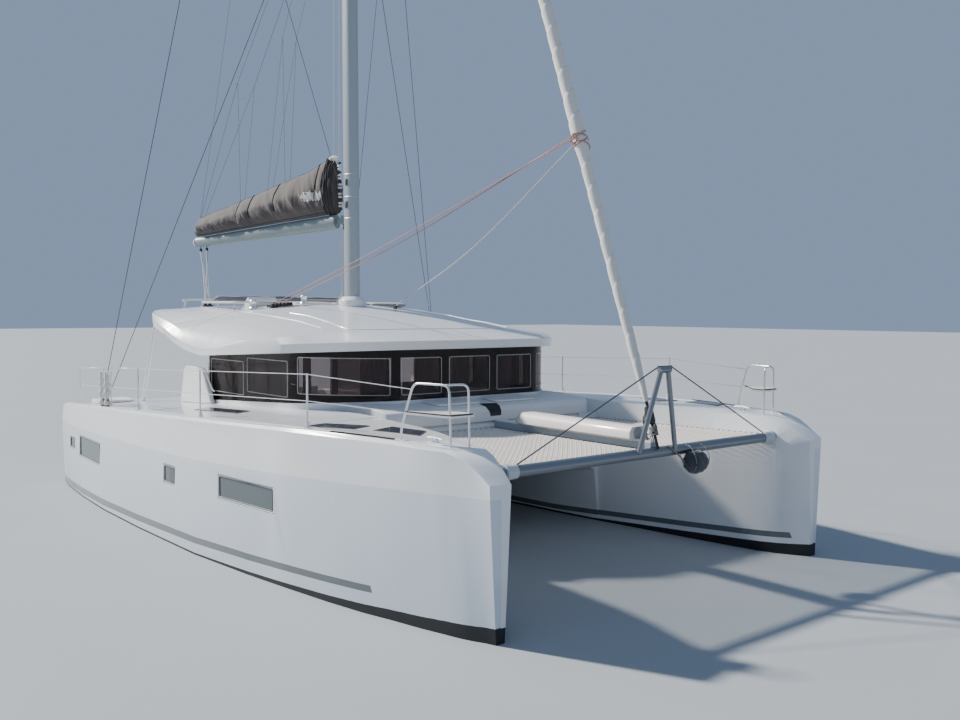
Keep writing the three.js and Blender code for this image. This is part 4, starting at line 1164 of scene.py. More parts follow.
@dataclass(frozen=True)
class Opening:
    """A window opening of the deckhouse's port side: centre, facing from the bow in degrees, width."""

    x: float
    y: float
    z: float
    facing: float
    width: float


@dataclass(frozen=True)
class Drape:
    """A curtain drawn to one end of an opening: the opening's number, and the ends across it."""

    opening: int
    start: float
    end: float


@dataclass(frozen=True)
class Deckhouse:
    """The bridge deck, the deckhouse with its glass, the roof and what is inside."""

    openings: tuple[Opening, ...] = (
        Opening(-1.2, 2.4, 2.325, 90, 1.24), Opening(0.2, 2.4, 2.393, 90, 1.33),
        Opening(1.626, 1.892, 2.462, 49.1, 1.432),
        Opening(2.22, 0.908, 2.462, 0, 0.744), Opening(2.22, 0.0, 2.462, 0, 0.816),
    )
    drapes: tuple[Drape, ...] = (
        Drape(0, -0.58, -0.02), Drape(0, 0.3, 0.58), Drape(1, -0.62, -0.3), Drape(1, 0.3, 0.6),
        Drape(2, -0.66, -0.24), Drape(2, 0.52, 0.66), Drape(3, -0.3, 0.05),
    )
    tall: float = 0.28
    wall: float = 0.1
    curtain_height: float = 0.6
    # The heights of a curtain's rows of points, above the middle of its opening.
    levels: tuple[float, ...] = (0.3, 0.23, 0.13, 0.0, -0.14, -0.24, -0.3)
    folds: int = 6
    fold_depth: float = 0.022

    def build(self) -> None:
        """Makes every piece of the deckhouse."""
        rounded_nodes = {
            "bridge_deck": (DECK, 0.02), "foredeck_locker": (DECK, 0.05), "locker_lid_port": (DECK, 0.006),
            "locker_lid_starboard": (DECK, 0.006), "roof": (WHITE, 0.05), "deckhouse_base": (WHITE, 0.01),
            "aft_bulkhead": (WHITE, 0.008), "fin_panel_port": (WHITE, 0.03),
            "fin_panel_starboard": (WHITE, 0.03), "helm_platform": (DECK, 0.02),
            "helm_console": (WHITE, 0.03), "mast_collar": (WHITE, 0.01),
        }
        for node, (finish, edge) in rounded_nodes.items():
            dress(node, finish, edge=edge, crease=30)
        plain = {
            "deckhouse_frame": GLASS_BORDER, "glazing_front": GLAZING, "glazing_port": GLAZING,
            "glazing_starboard": GLAZING, "saloon_door": GLAZING, "saloon_table": TEAK,
            "galley_counter": TEAK, "cockpit_table": TEAK, "roof_post_port": WHITE,
            "roof_post_starboard": WHITE,
        }
        for node, finish in plain.items():
            dress(node, finish)
        dress("longeron", BOLSTER, crease=52)
        skin = Skin("glazing_front", "glazing_port", "glazing_starboard")
        self.trims(skin)
        for number, drape in enumerate(self.drapes):
            for side, s in SIDES:
                self.curtain(skin, drape, s, f"curtain_{side}_{number}")

    def on_glass(self, skin: Skin, opening: Opening, s: int, u: float, z: float,
                 deep: float = 0.0) -> Vector:
        """A point on the glass of an opening.

        Args:
            skin: The glass.
            opening: The opening.
            s: The side, 1 for port.
            u: How far across it, forward being negative to port.
            z: Its height.
            deep: How far inside the glass it lies.

        Returns:
            The point.
        """
        turn = math.radians(opening.facing) * s
        out = Vector((math.cos(turn), math.sin(turn), 0))
        across = Vector((-math.sin(turn), math.cos(turn), 0))
        point = Vector((opening.x, s * opening.y, z)) + across * u
        found = skin.hit(point + out * 0.6, -out)
        return (found or point) - out * deep

    def trims(self, skin: Skin) -> None:
        """Lays a pale trim round every opening.

        Args:
            skin: The glass.
        """
        form = Form()
        for opening in self.openings:
            for s in ((1, -1) if opening.y else (1,)):
                outline = rounded(opening.width / 2 - 0.012, self.tall - 0.012, 0.03)
                path = [self.on_glass(skin, opening, s, u, opening.z + v) for u, v in outline]
                form.tube(path, 0.0065, 5, closed=True)
        form.piece("window_trims", PANE_TRIM)

    def curtain(self, skin: Skin, drape: Drape, s: int, name: str) -> None:
        """Hangs a gathered curtain inside the glass.

        Args:
            skin: The glass.
            drape: Where it hangs.
            s: The side, 1 for port.
            name: The piece's name.
        """
        opening = self.openings[drape.opening]
        rows = []
        columns = 72
        for level in self.levels:
            z = opening.z + level
            row = []
            for i in range(columns + 1):
                share = i / columns
                sway = noise.noise(Vector((share * 3, z * 1.5, s)))
                fold = math.sin(share * 2 * math.pi * self.folds + sway)
                deep = self.wall + 0.03 + fold * self.fold_depth * (0.85 - 0.5 * level)
                u = s * (drape.start + (drape.end - drape.start) * share)
                row.append(self.on_glass(skin, opening, s, u, z, deep))
            rows.append(row)
        middle = rows[len(rows) // 2]
        width = sum((b - a).length for a, b in zip(middle, middle[1:]))
        made = Form().loft(rows, closed=False, capped=False).piece(name, CURTAIN, crease=180)


@dataclass(frozen=True)
class RoofGear:
    """What lies on the roof: beads, seams, the helm opening's rail, track and winches."""

    # One row per moulded bead on the starboard side: the points of its path.
    beads: tuple[tuple[tuple[float, float], ...], ...] = (
        ((-1.7, -1.87), (-0.9, -1.86), (-0.18, -1.84), (0.38, -1.83), (0.95, -1.86)),
        ((-0.65, -1.53), (-0.11, -1.48), (0.56, -1.5), (1.08, -1.55), (1.3, -1.4), (1.38, -0.7),
         (1.4, 0.0)),
    )
    seams: tuple[tuple[tuple[float, float], ...], ...] = (
        ((-1.93, -1.9), (-1.87, -2.3), (-1.86, -2.6), (-1.82, -2.84)),
        ((1.5, -0.18), (1.72, -0.2), (2.02, -0.26), (2.24, -0.33)),
    )
    opening: tuple[float, float, float, float] = (-3.58, -1.98, -1.84, -0.77)
    rail_z: float = 3.56
    track_x: float = -4.16
    track_end: float = 1.7
    car_y: float = -1.43
    winches: tuple[tuple[float, float], ...] = ((-1.82, -1.62), (-1.82, -0.62))
    clutch_x: float = -1.55
    clutches: tuple[float, ...] = (-1.42, -1.35, -1.28, -1.21, -1.14, -1.07)

    def build(self) -> None:
        """Makes the roof's fittings."""
        skin = Skin("roof")
        beads = Form()
        seams = Form()
        for _, s in SIDES:
            for path in self.beads:
                mirrored = spline([(x, -s * y, 0) for x, y in path], 8)
                beads.tube(skin.laid(mirrored, 0.001), 0.013, 8, 0.55)
            for path in self.seams:
                seams.tube(skin.laid(spline([(x, -s * y, 0) for x, y in path], 8)), 0.004, 6, 0.5)
        beads.piece("roof_beads", WHITE)
        seams.piece("roof_seams", SEAL)
        self.rail(skin)
        self.track(skin)
        self.lines(skin)

    def rail(self, skin: Skin) -> None:
        """Stands a low tube rail round the helm opening.

        Args:
            skin: The roof's skin.
        """
        x0, x1, y0, y1 = self.opening
        middle = Vector(((x0 + x1) / 2, (y0 + y1) / 2, self.rail_z))
        outline = [middle + Vector((u, v, 0)) for u, v in rounded((x1 - x0) / 2, (y1 - y0) / 2, 0.16)]
        form = Form().tube(outline, 0.017, 8, closed=True)
        for x in (x0 + 0.12, middle.x, x1 - 0.12):
            for y in (y0, y1):
                foot = skin.below(x, y)
                form.tube([foot, Vector((x, y, self.rail_z))], 0.013, 8)
                form.turned([(0.035, 0.0), (0.03, 0.012)], foot, sides=12)
        form.piece("helm_opening_rail", PALE_TUBE)

    def track(self, skin: Skin) -> None:
        """Lays the mainsheet's track across the roof's aft edge, with its car.

        Args:
            skin: The roof's skin.
        """
        rail = [skin.below(self.track_x, 0.2 * i - self.track_end) + Vector((0, 0, 0.012))
                for i in range(18)]
        Form().tube(rail, 0.02, 6, 0.8).piece("mainsheet_track", ALLOY)
        car = skin.below(self.track_x, self.car_y) + Vector((0, 0, 0.03))
        form = Form().block((-0.05, -0.09, -0.01), (0.05, 0.09, 0.035), Matrix.Translation(car))
        for y in (-0.045, 0.045):
            form.turned([(0.01, -0.03), (0.034, -0.02), (0.026, 0.0), (0.034, 0.02), (0.01, 0.03)],
                        car + Vector((0, y, 0.055)), (0, 1, 0), 14)
        form.piece("mainsheet_car", BLACK, edge=0.004)

    def lines(self, skin: Skin) -> None:
        """Sets the winches and clutches, and the lines that lead to them.

        Args:
            skin: The roof's skin.
        """
        drum = [(0.075, 0.0), (0.075, 0.02), (0.052, 0.045), (0.046, 0.1), (0.06, 0.125),
                (0.062, 0.145), (0.045, 0.165), (0.0, 0.168)]
        drums = Form()
        for x, y in self.winches:
            drums.turned(drum, skin.below(x, y) + Vector((0, 0, -0.004)), sides=24)
        drums.piece("roof_winches", STAINLESS, crease=40)
        locks = Form()
        ropes = Form()
        for i, y in enumerate(self.clutches):
            foot = skin.below(self.clutch_x, y)
            locks.block((-0.1, -0.026, -0.01), (0.1, 0.026, 0.058), Matrix.Translation(foot))
            locks.block((-0.02, -0.018, 0.058), (0.11, 0.018, 0.074), Matrix.Translation(foot))
            path = [(-1.62, y), (-1.5, y), (-1.34, y * 0.55 - 0.08), (-1.24, -0.2 - 0.03 * i)]
            ropes.tube(skin.laid(spline([(px, py, 0) for px, py in path], 5), 0.012), 0.006, 6)
        locks.piece("rope_clutches", BLACK, edge=0.004)
        ropes.piece("led_lines", ROPE)


# Cushions


@dataclass(frozen=True)
class Pad:
    """A crowned cushion with piped edges and sewn channels across its length."""

    low: Point
    high: Point
    channels: int = 0
    upright: bool = False
    finish: Finish = CUSHION

    def height(self, u: float, v: float) -> float:
        """The cushion's half thickness as a share.

        Args:
            u: How far along it, from -1 to 1.
            v: How far across it, from -1 to 1.

        Returns:
            The share.
        """
        edge = max(0.0, (1 - abs(u) ** 9) * (1 - abs(v) ** 9)) ** 0.34
        crown = 0.86 + 0.14 * (1 - u * u) * (1 - v * v)
        wrinkle = 0.03 * noise.noise(Vector((u * 3.1 + self.low[0], v * 2.3 + self.low[1], self.low[2])))
        groove = 1.0
        if self.channels:
            cell = (u * 0.5 + 0.5) * self.channels
            gap = abs(cell - round(cell)) / self.channels
            groove = 1 - 0.16 * math.exp(-((gap / 0.012) ** 2))
        return edge * (crown + wrinkle) * groove

    def axes(self) -> tuple[int, int, int]:
        """The axes of the cushion's length, width and thickness.

        Returns:
            Their numbers.
        """
        half = [(b - a) / 2 for a, b in zip(self.low, self.high)]
        if self.upright:
            flat = min((0, 1), key=lambda axis: half[axis])
            return 1 - flat, 2, flat
        long = max((1, 0), key=lambda axis: half[axis])
        return long, 1 - long, 2

    def point(self, u: float, v: float, side: float) -> Vector:
        """A point of the cushion.

        Args:
            u: How far along it, from -1 to 1.
            v: How far across it, from -1 to 1.
            side: How far through it, from -1 to 1.

        Returns:
            The point.
        """
        long, wide, flat = self.axes()
        low, high = Vector(self.low), Vector(self.high)
        middle, half = (low + high) / 2, (high - low) / 2
        point = middle.copy()
        point[long] += half[long] * u * (1 - 0.012 * (1 - v * v))
        point[wide] += half[wide] * v * (1 - 0.03 * (1 - u * u))
        point[flat] += half[flat] * side
        return point

    def piece(self, name: str) -> bpy.types.Object:
        """Args:
            name: The cushion's name.

        Returns:
            The cushion.
        """
        form = Form()
        turns = [math.sin(math.pi / 2 * (2 * i / 44 - 1)) for i in range(45)]
        crossings = [math.sin(math.pi / 2 * (2 * j / 16 - 1)) for j in range(17)]
        for side in (1, -1):
            grid = [[self.point(u, v, side * self.height(u, v)) for v in crossings] for u in turns]
            form.loft(grid, closed=False, capped=False)
        made = form.piece(name, self.finish, crease=80)
        seam = [self.point(u, v, 0.0) for u, v in rounded(1.0, 1.0, 0.05, 0.1)]
        Form().tube(seam, 0.0045, 6, closed=True).piece(name + "_piping", PIPING)
        return made


@dataclass(frozen=True)
class Seat:
    """A built-in seat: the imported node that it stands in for, its hard bases and its cushions."""

    node: str
    bases: tuple[tuple[Point, Point], ...]
    pads: tuple[Pad, ...]

    def build(self) -> None:
        """Makes the seat's pieces."""
        form = Form()
        for low, high in self.bases:
            form.block(low, high)
        base = form.piece(self.node + "_base", WHITE, edge=0.02, crease=40)
        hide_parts(self.node)
        for number, pad in enumerate(self.pads):
            pad.piece(f"{self.node}_cushion_{number}")


@dataclass(frozen=True)
class Seating:
    """The saloon's, cockpit's, helm's and roof's seats, with loose cushions by the window."""

    seats: tuple[Seat, ...] = (
        Seat("saloon_settee", (
            ((-0.9, 1.0, 0.903), (1.65, 1.585, 1.225)), ((-0.9, 1.52, 1.2), (1.65, 1.587, 1.775)),
            ((1.1, -0.25, 0.903), (1.65, 1.05, 1.225)), ((1.585, -0.25, 1.2), (1.65, 1.56, 1.775)),
        ), (
            Pad((-0.88, 1.01, 1.222), (0.1, 1.47, 1.34)), Pad((0.11, 1.01, 1.222), (1.09, 1.47, 1.34)),
            Pad((1.11, -0.24, 1.222), (1.53, 0.99, 1.34)), Pad((1.1, 1.0, 1.222), (1.53, 1.46, 1.34)),
            Pad((-0.88, 1.43, 1.345), (0.1, 1.52, 1.788), 3, True),
            Pad((0.11, 1.43, 1.345), (1.45, 1.52, 1.788), 4, True),
            Pad((1.49, -0.24, 1.345), (1.585, 1.4, 1.788), 4, True),
            Pad((0.25, 1.36, 1.5), (0.68, 1.48, 1.93), 0, True, PRINTED),
            Pad((0.78, 1.33, 1.48), (1.2, 1.45, 1.9), 0, True, PRINTED),
            Pad((1.38, 0.35, 1.5), (1.5, 0.78, 1.92), 0, True, PRINTED),
        )),
        Seat("cockpit_bench", (
            ((-4.915, -1.4, 0.923), (-4.355, 1.4, 1.225)), ((-4.915, -1.4, 1.2), (-4.85, 1.4, 1.75)),
        ), (
            Pad((-4.8, -1.38, 1.222), (-4.36, -0.01, 1.342), 3),
            Pad((-4.8, 0.01, 1.222), (-4.36, 1.38, 1.342), 3),
            Pad((-4.85, -1.38, 1.345), (-4.785, -0.01, 1.758), 4, True),
            Pad((-4.85, 0.01, 1.345), (-4.785, 1.38, 1.758), 4, True),
        )),
        Seat("helm_seat", (
            ((-3.4, -1.58, 2.253), (-2.96, -1.02, 2.85)), ((-3.4, -1.58, 2.8), (-3.35, -1.02, 3.4)),
        ), (
            Pad((-3.34, -1.57, 2.848), (-2.965, -1.03, 2.958)),
            Pad((-3.355, -1.57, 2.965), (-3.3, -1.03, 3.418), 0, True),
        )),
        Seat("sun_lounge", (
            ((-3.62, -0.58, 3.42), (-2.17, 1.88, 3.475)),
        ), (
            Pad((-3.55, -0.59, 3.47), (-2.16, 0.22, 3.588), 4),
            Pad((-3.55, 0.235, 3.47), (-2.16, 1.05, 3.588), 4),
            Pad((-3.55, 1.065, 3.47), (-2.16, 1.89, 3.588), 4),
            Pad((-3.7, -0.59, 3.45), (-3.56, 1.89, 3.64), 5, True),
        )),
    )

    def build(self) -> None:
        """Makes every seat."""
        for seat in self.seats:
            seat.build()


# Rig


@dataclass(frozen=True)
class Boom:
    """The boom, the bag of the lowered mainsail and the lines that hold them."""

    pivot: Point = (-1.48, 0.0, 5.05)
    swing: float = 10.2
    droop: float = 2.5
    # One row per section of the bag: x, half width, bottom, top.
    bag: tuple[tuple[float, float, float, float], ...] = (
        (-4.6, 0.095, 0.122, 0.44), (-4.48, 0.15, 0.122, 0.51), (-3.7, 0.185, 0.128, 0.605),
        (-2.7, 0.215, 0.135, 0.745), (-1.7, 0.235, 0.141, 0.89), (-0.9, 0.235, 0.145, 1.0),
        (-0.45, 0.21, 0.147, 1.13), (-0.27, 0.18, 0.148, 1.195), (-0.13, 0.13, 0.15, 1.01),
    )
    straps: tuple[float, ...] = (-0.55, -1.75, -2.58, -3.02)
    foot_ropes: tuple[float, float] = (-1.15, -1.99)  # how far round the bag, in radians
    # One row per lazy jack leg of one side: where it is tied along the bag, and the eye it runs to.
    legs: tuple[tuple[float, int], ...] = ((-4.42, 0), (-3.0, 0), (-2.1, 1), (-1.55, 1))
    # One row per eye of the lazy jacks: how far along the boom, how far out, how far above the pivot.
    eyes: tuple[Point, ...] = ((-2.75, 0.2, 3.0), (-1.35, 0.16, 3.6))
    jack_top: Point = (-1.42, 0.1, 12.3)
    sheet_feet: tuple[float, ...] = (-1.475, -1.385)
    sheet_heads: tuple[float, ...] = (-4.52, -4.3)
    sheet_drop: float = -0.2
    car: tuple[float, float] = (-4.16, -1.43)
    lift_tail: Point = (-4.62, 0.0, 0.1)
    lift_head: Point = (-1.78, 0.0, 21.9)

    def place(self) -> Matrix:
        """The boom's place at rest."""
        return (Matrix.Translation(self.pivot) @ Matrix.Rotation(math.radians(self.swing), 4, "Z")
                @ Matrix.Rotation(-math.radians(self.droop), 4, "Y"))

    def bag_point(self, x: float, turn: float, grow: float = 0.0) -> Vector:
        """A point on the bag.

        Args:
            x: The section, along the boom.
            turn: The angle round it, from port, in radians.
            grow: How far outside the cloth it lies.

        Returns:
            The point, in the boat's frame.
        """
        half, low, high = (along(self.bag, column, x) for column in (1, 2, 3))
        up, out = math.sin(turn), math.cos(turn)
        tall = (high - low) / 2
        share = (up + 1) / 2
        narrow = 1 - 0.5 * max(0.0, up)
        slack = (1 - share) ** 0.4 * min(1.0, share * 5)
        fold = noise.noise(Vector((x * 4.5 + share * 2.6, share * 0.8, 3.1 + out)))
        pleat = 1 - 2 * abs(noise.noise(Vector((x * 9 + share * 4.5, share * 0.7, 7.7 + out))))
        fine = noise.noise(Vector((x * 26 + share * 3.0, share * 5, 1.3)))
        pinch = sum(math.exp(-(((x - strap) / 0.07) ** 2)) for strap in self.straps)
        puff = (fold * 0.05 + pleat * 0.02 + fine * 0.008 - 0.016) * slack - pinch * 0.018 * slack
        wide = (half * narrow + puff + grow) * out
        crest = 0.012 * noise.noise(Vector((x * 6, 5.5, 0.3))) * max(0.0, up)
        return self.place() @ Vector((x, wide, low + tall + (tall + grow) * up + crest))

    def build(self) -> None:
        """Makes the boom's pieces."""
        dress("boom", BOOM_ALLOY, crease=40)
        cap = [self.place() @ Vector((x, 0, 0)) for x in (-4.655, -4.69)]
        form = Form().turned([(0.06, -0.01), (0.085, 0.0), (0.08, 0.03), (0.0, 0.035)], cap[0],
                             cap[1] - cap[0])
        form.piece("boom_end_cap", WHITE, "boom")
        self.cover()
        self.slides()
        self.mainsheet()
        self.lazy_jacks()

    def cover(self) -> None:
        """Makes the bag's cloth, its zip, ropes and straps, and the folds at its front."""
        rings = []
        steps, sides = 230, 56
        for i in range(steps + 1):
            x = self.bag[0][0] + (self.bag[-1][0] - self.bag[0][0]) * i / steps
            rings.append([self.bag_point(x, 2 * math.pi * j / sides) for j in range(sides)])
        made = Form().loft(rings).piece("sail_bag_cloth", BAG_CLOTH, "boom", crease=70)
        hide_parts("sail_bag")
        trims = Form()
        for strap in self.straps:
            turns = [math.pi * (j / 30 * 1.3 - 0.15) for j in range(31)]
            trims.tube([self.bag_point(strap, turn, 0.003) for turn in turns], 0.012, 6, 0.6)
        xs = [-4.5 + 4.2 * i / 60 for i in range(61)]
        trims.tube([self.bag_point(x, math.pi / 2, 0.004) for x in xs], 0.009, 6)
        for turn in self.foot_ropes:
            trims.tube([self.bag_point(x, turn, 0.004) for x in xs], 0.008, 6)
        trims.piece("sail_bag_straps", BAG_TRIM, "boom")
        folds = Form()
        for i in range(7):
            x = -0.36 + 0.035 * i
            turns = [math.pi * 2 * j / 40 for j in range(40)]
            path = [self.bag_point(x, turn, 0.006 + 0.012 * math.sin(turn * 5 + i * 2.1)) for turn in turns]
            folds.tube(path, 0.013 + 0.004 * (i % 3), 6, closed=True)
        folds.piece("sail_bag_mouth", BAG_TRIM, "boom")

    def slides(self) -> None:
        """Stacks the lowered sail's slides and a pale fold of its head behind the mast."""
        pale = Form()
        dark = Form()
        for i in range(16):
            form = dark if i % 3 == 0 else pale
            level = 0.2 + 0.056 * i
            form.block((-0.075, -0.03, level), (-0.03, 0.03, level + 0.032), self.place())
        pale.piece("sail_slides", SAIL, "boom", edge=0.004)
        dark.piece("sail_slide_ends", BLACK, "boom", edge=0.004)
        rings = []
        for i in range(15):
            share = i / 14
            middle = self.place() @ Vector((-0.36 + 0.3 * share, 0.0, 1.13 + 0.03 * math.sin(share * 3)))
            size = 0.05 * math.sin(math.pi * (0.12 + 0.76 * share))
            rings.append(ring(middle, Vector((0, size * 1.3, 0)), Vector((0, 0, size)), 14))
        Form().loft(rings).piece("sail_head_fold", SAIL, "boom", crease=80)

    def mainsheet(self) -> None:
        """Reeves the mainsheet between the boom's end and its car."""
        roof = Skin("roof")
        form = Form()
        low = roof.below(*self.car) + Vector((0, 0, 0.1))
        high = self.place() @ Vector((sum(self.sheet_heads) / 2, 0.0, self.sheet_drop))
        for foot in self.sheet_feet:
            for head in self.sheet_heads:
                side = 0.02 if foot < self.car[1] else -0.02
                top = self.place() @ Vector((head, side, self.sheet_drop))
                form.tube([Vector((low.x, foot, low.z)), top], 0.0065, 6)
        made = form.piece("mainsheet", ROPE, body=None)
        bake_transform(made)
        blocks = Form()
        for head in self.sheet_heads:
            middle = self.place() @ Vector((head, 0.0, -0.17))
            blocks.turned([(0.012, -0.02), (0.036, -0.016), (0.028, 0.0), (0.036, 0.016), (0.012, 0.02)],
                          middle, (0, 1, 0), 14)
            blocks.tube([middle, self.place() @ Vector((head, 0.0, -0.09))], 0.008, 6)
        blocks.piece("mainsheet_blocks", BLACK, "boom")

    def lazy_jacks(self) -> None:
        """Rigs the lazy jacks and the topping lift."""
        for side, s in SIDES:
            eyes = [self.place() @ Vector((x, s * y, z)) for x, y, z in self.eyes]
            top = Vector((self.jack_top[0], s * self.jack_top[1], self.jack_top[2]))
            form = Form()
            for tied, eye in self.legs:
                turn = math.pi / 2 - s * 0.5
                form.tube([self.bag_point(tied, turn), eyes[eye]], 0.0035, 5)
            form.tube([eyes[0], top], 0.0035, 5)
            form.tube([eyes[1], top], 0.0035, 5)
            made = form.piece(f"lazy_jack_{side}", DARK_ROPE, body=None)
            self.bag_point(-2.84, math.pi / 2)
            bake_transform(made)
        tail = self.place() @ Vector(self.lift_tail)
        head = Vector(self.lift_head)
        made = Form().tube([tail, head], 0.004, 5).piece("topping_lift", DARK_ROPE, body=None)
        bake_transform(made)


@dataclass(frozen=True)
class Headsail:
    """The furled genoa on its stay, its drum, clew and sheets."""

    foot: Point = (5.93, 0.0, 1.8)
    head: Point = (-1.18, 0.0, 21.85)
    roll_start: float = 0.53
    # One row per change of the roll: distance from its foot, radius.
    roll: tuple[tuple[float, float], ...] = (
        (0.0, 0.034), (0.21, 0.046), (0.6, 0.062), (1.5, 0.072), (2.7, 0.076), (3.35, 0.084),
        (3.6, 0.104), (3.9, 0.098), (4.3, 0.092), (6.0, 0.088), (12.5, 0.08), (17.8, 0.058),
        (18.7, 0.022), (18.75, 0.009), (20.7, 0.009),
    )
    roll_end: float = 18.75
    rows: int = 760
    row_step: float = 0.0248
    twist: float = 0.34
    clew: float = 3.62
    # One row per sheet: the end on the roof, whether it is the red one.
    sheets: tuple[tuple[float, float, bool], ...] = (
        (-1.84, -1.19, True), (-1.72, -1.12, True), (-0.68, 0.6, False),
    )

    def at(self, distance: float) -> Vector:
        """A point on the stay, above the roll's foot."""
        foot, head = Vector(self.foot), Vector(self.head)
        return foot + (head - foot).normalized() * (self.roll_start + distance)

    def build(self) -> None:
        """Makes the sail's pieces."""
        dress("furler_drum", BLACK)
        ahead = (Vector(self.head) - Vector(self.foot)).normalized()
        across = Vector((0, 1, 0))
        up = ahead.cross(across)
        rings = []
        sides = 28
        for i in range(self.rows):
            d = min(i * self.row_step, self.roll_end)
            radius = along(self.roll, 1, d)
            points = []
            for j in range(sides):
                turn = 2 * math.pi * j / sides
                lap = (j / sides - d / self.twist) % 1.0
                fold = noise.noise(Vector((math.cos(turn) * 1.3, math.sin(turn) * 1.3, d * 3.5)))
                pucker = noise.noise(Vector((j * 0.9, d * 14, 4.4)))
                r = radius * (1.0 - 0.11 * lap ** 2 + 0.045 * fold + 0.025 * pucker)
                points.append(self.at(d) + across * r * math.cos(turn) + up * r * math.sin(turn))
            rings.append(points)
        stay = self.roll[-1][1]
        rings += [ring(self.at(d), across * stay, up * stay, sides)
                  for d in (self.roll_end + 0.09, self.roll[-1][0])]
        made = Form().loft(rings).piece("genoa_roll", SAIL, crease=50)
        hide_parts("furled_genoa")
        self.clew_knot(across, up)
        self.sheet_lines()
        self.furling_line(across, up)

    def clew_knot(self, across: Vector, up: Vector) -> None:
        """Ties the sheets round the roll at the clew.

        Args:
            across: To port, of unit length.
            up: Square to it and to the stay.
        """
        form = Form()
        for i in range(4):
            middle = self.at(self.clew - 0.09 + 0.055 * i)
            tilt = (self.at(1) - self.at(0)) * 0.05 * (1 if i % 2 else -1)
            form.tube(ring(middle, across * 0.106 + tilt, up * 0.106, 20), 0.008, 6, closed=True)
        knot = self.at(self.clew) - across * 0.115
        turns = [(0, 0, 0), (0.03, -0.05, 0.06), (0.05, 0, 0.01), (0, 0.02, -0.06), (-0.04, -0.04, -0.02)]
        form.tube(spline([knot + Vector(turn) for turn in turns]), 0.01, 6)
        form.piece("clew_knot", RED_ROPE)

    def sheet_lines(self) -> None:
        """Leads the sheets from the clew to the roof, with a lead block each."""
        roof = Skin("roof")
        blocks = Form()
        for number, (x, y, red) in enumerate(self.sheets):
            start = self.at(self.clew + 0.03 * number) + Vector((-0.06, 0.1 if y > 0 else -0.11, 0))
            end = roof.below(x, y) + Vector((0, 0, 0.05))
            middle = (start + end) / 2 - Vector((0, 0, 0.05 + 0.07 * number))
            form = Form().tube(spline([start, middle, end], 10), 0.0075, 6)
            form.piece(f"genoa_sheet_{number}", RED_ROPE if red else ROPE)
            blocks.turned([(0.012, -0.025), (0.04, -0.02), (0.03, 0.0), (0.04, 0.02), (0.012, 0.025)],
                          end - Vector((0, 0, 0.012)), (0, 1, 0), 14)
        blocks.piece("sheet_lead_blocks", BLACK)

    def furling_line(self, across: Vector, up: Vector) -> None:
        """Winds the furling line on its drum and hangs its spare turns on the stay.

        Args:
            across: To port, of unit length.
            up: Square to it and to the stay.
        """
        form = Form()
        foot, head = Vector(self.foot), Vector(self.head)
        ahead = (head - foot).normalized()
        for i in range(7):
            form.tube(ring(foot + ahead * (0.1 + 0.016 * i), across * 0.045, up * 0.045, 18), 0.009, 6,
                      closed=True)
        for i in range(5):
            top = foot + ahead * (0.44 - 0.03 * i)
            loop = [top, top + Vector((0.05, 0.03 + 0.01 * i, -0.14)),
                    top + Vector((0.03, -0.02, -0.33 - 0.02 * i)),
                    top + Vector((-0.04, -0.05, -0.15)), top]
            form.tube(spline(loop), 0.0075, 6)
        form.piece("furling_line", FLECK_ROPE)


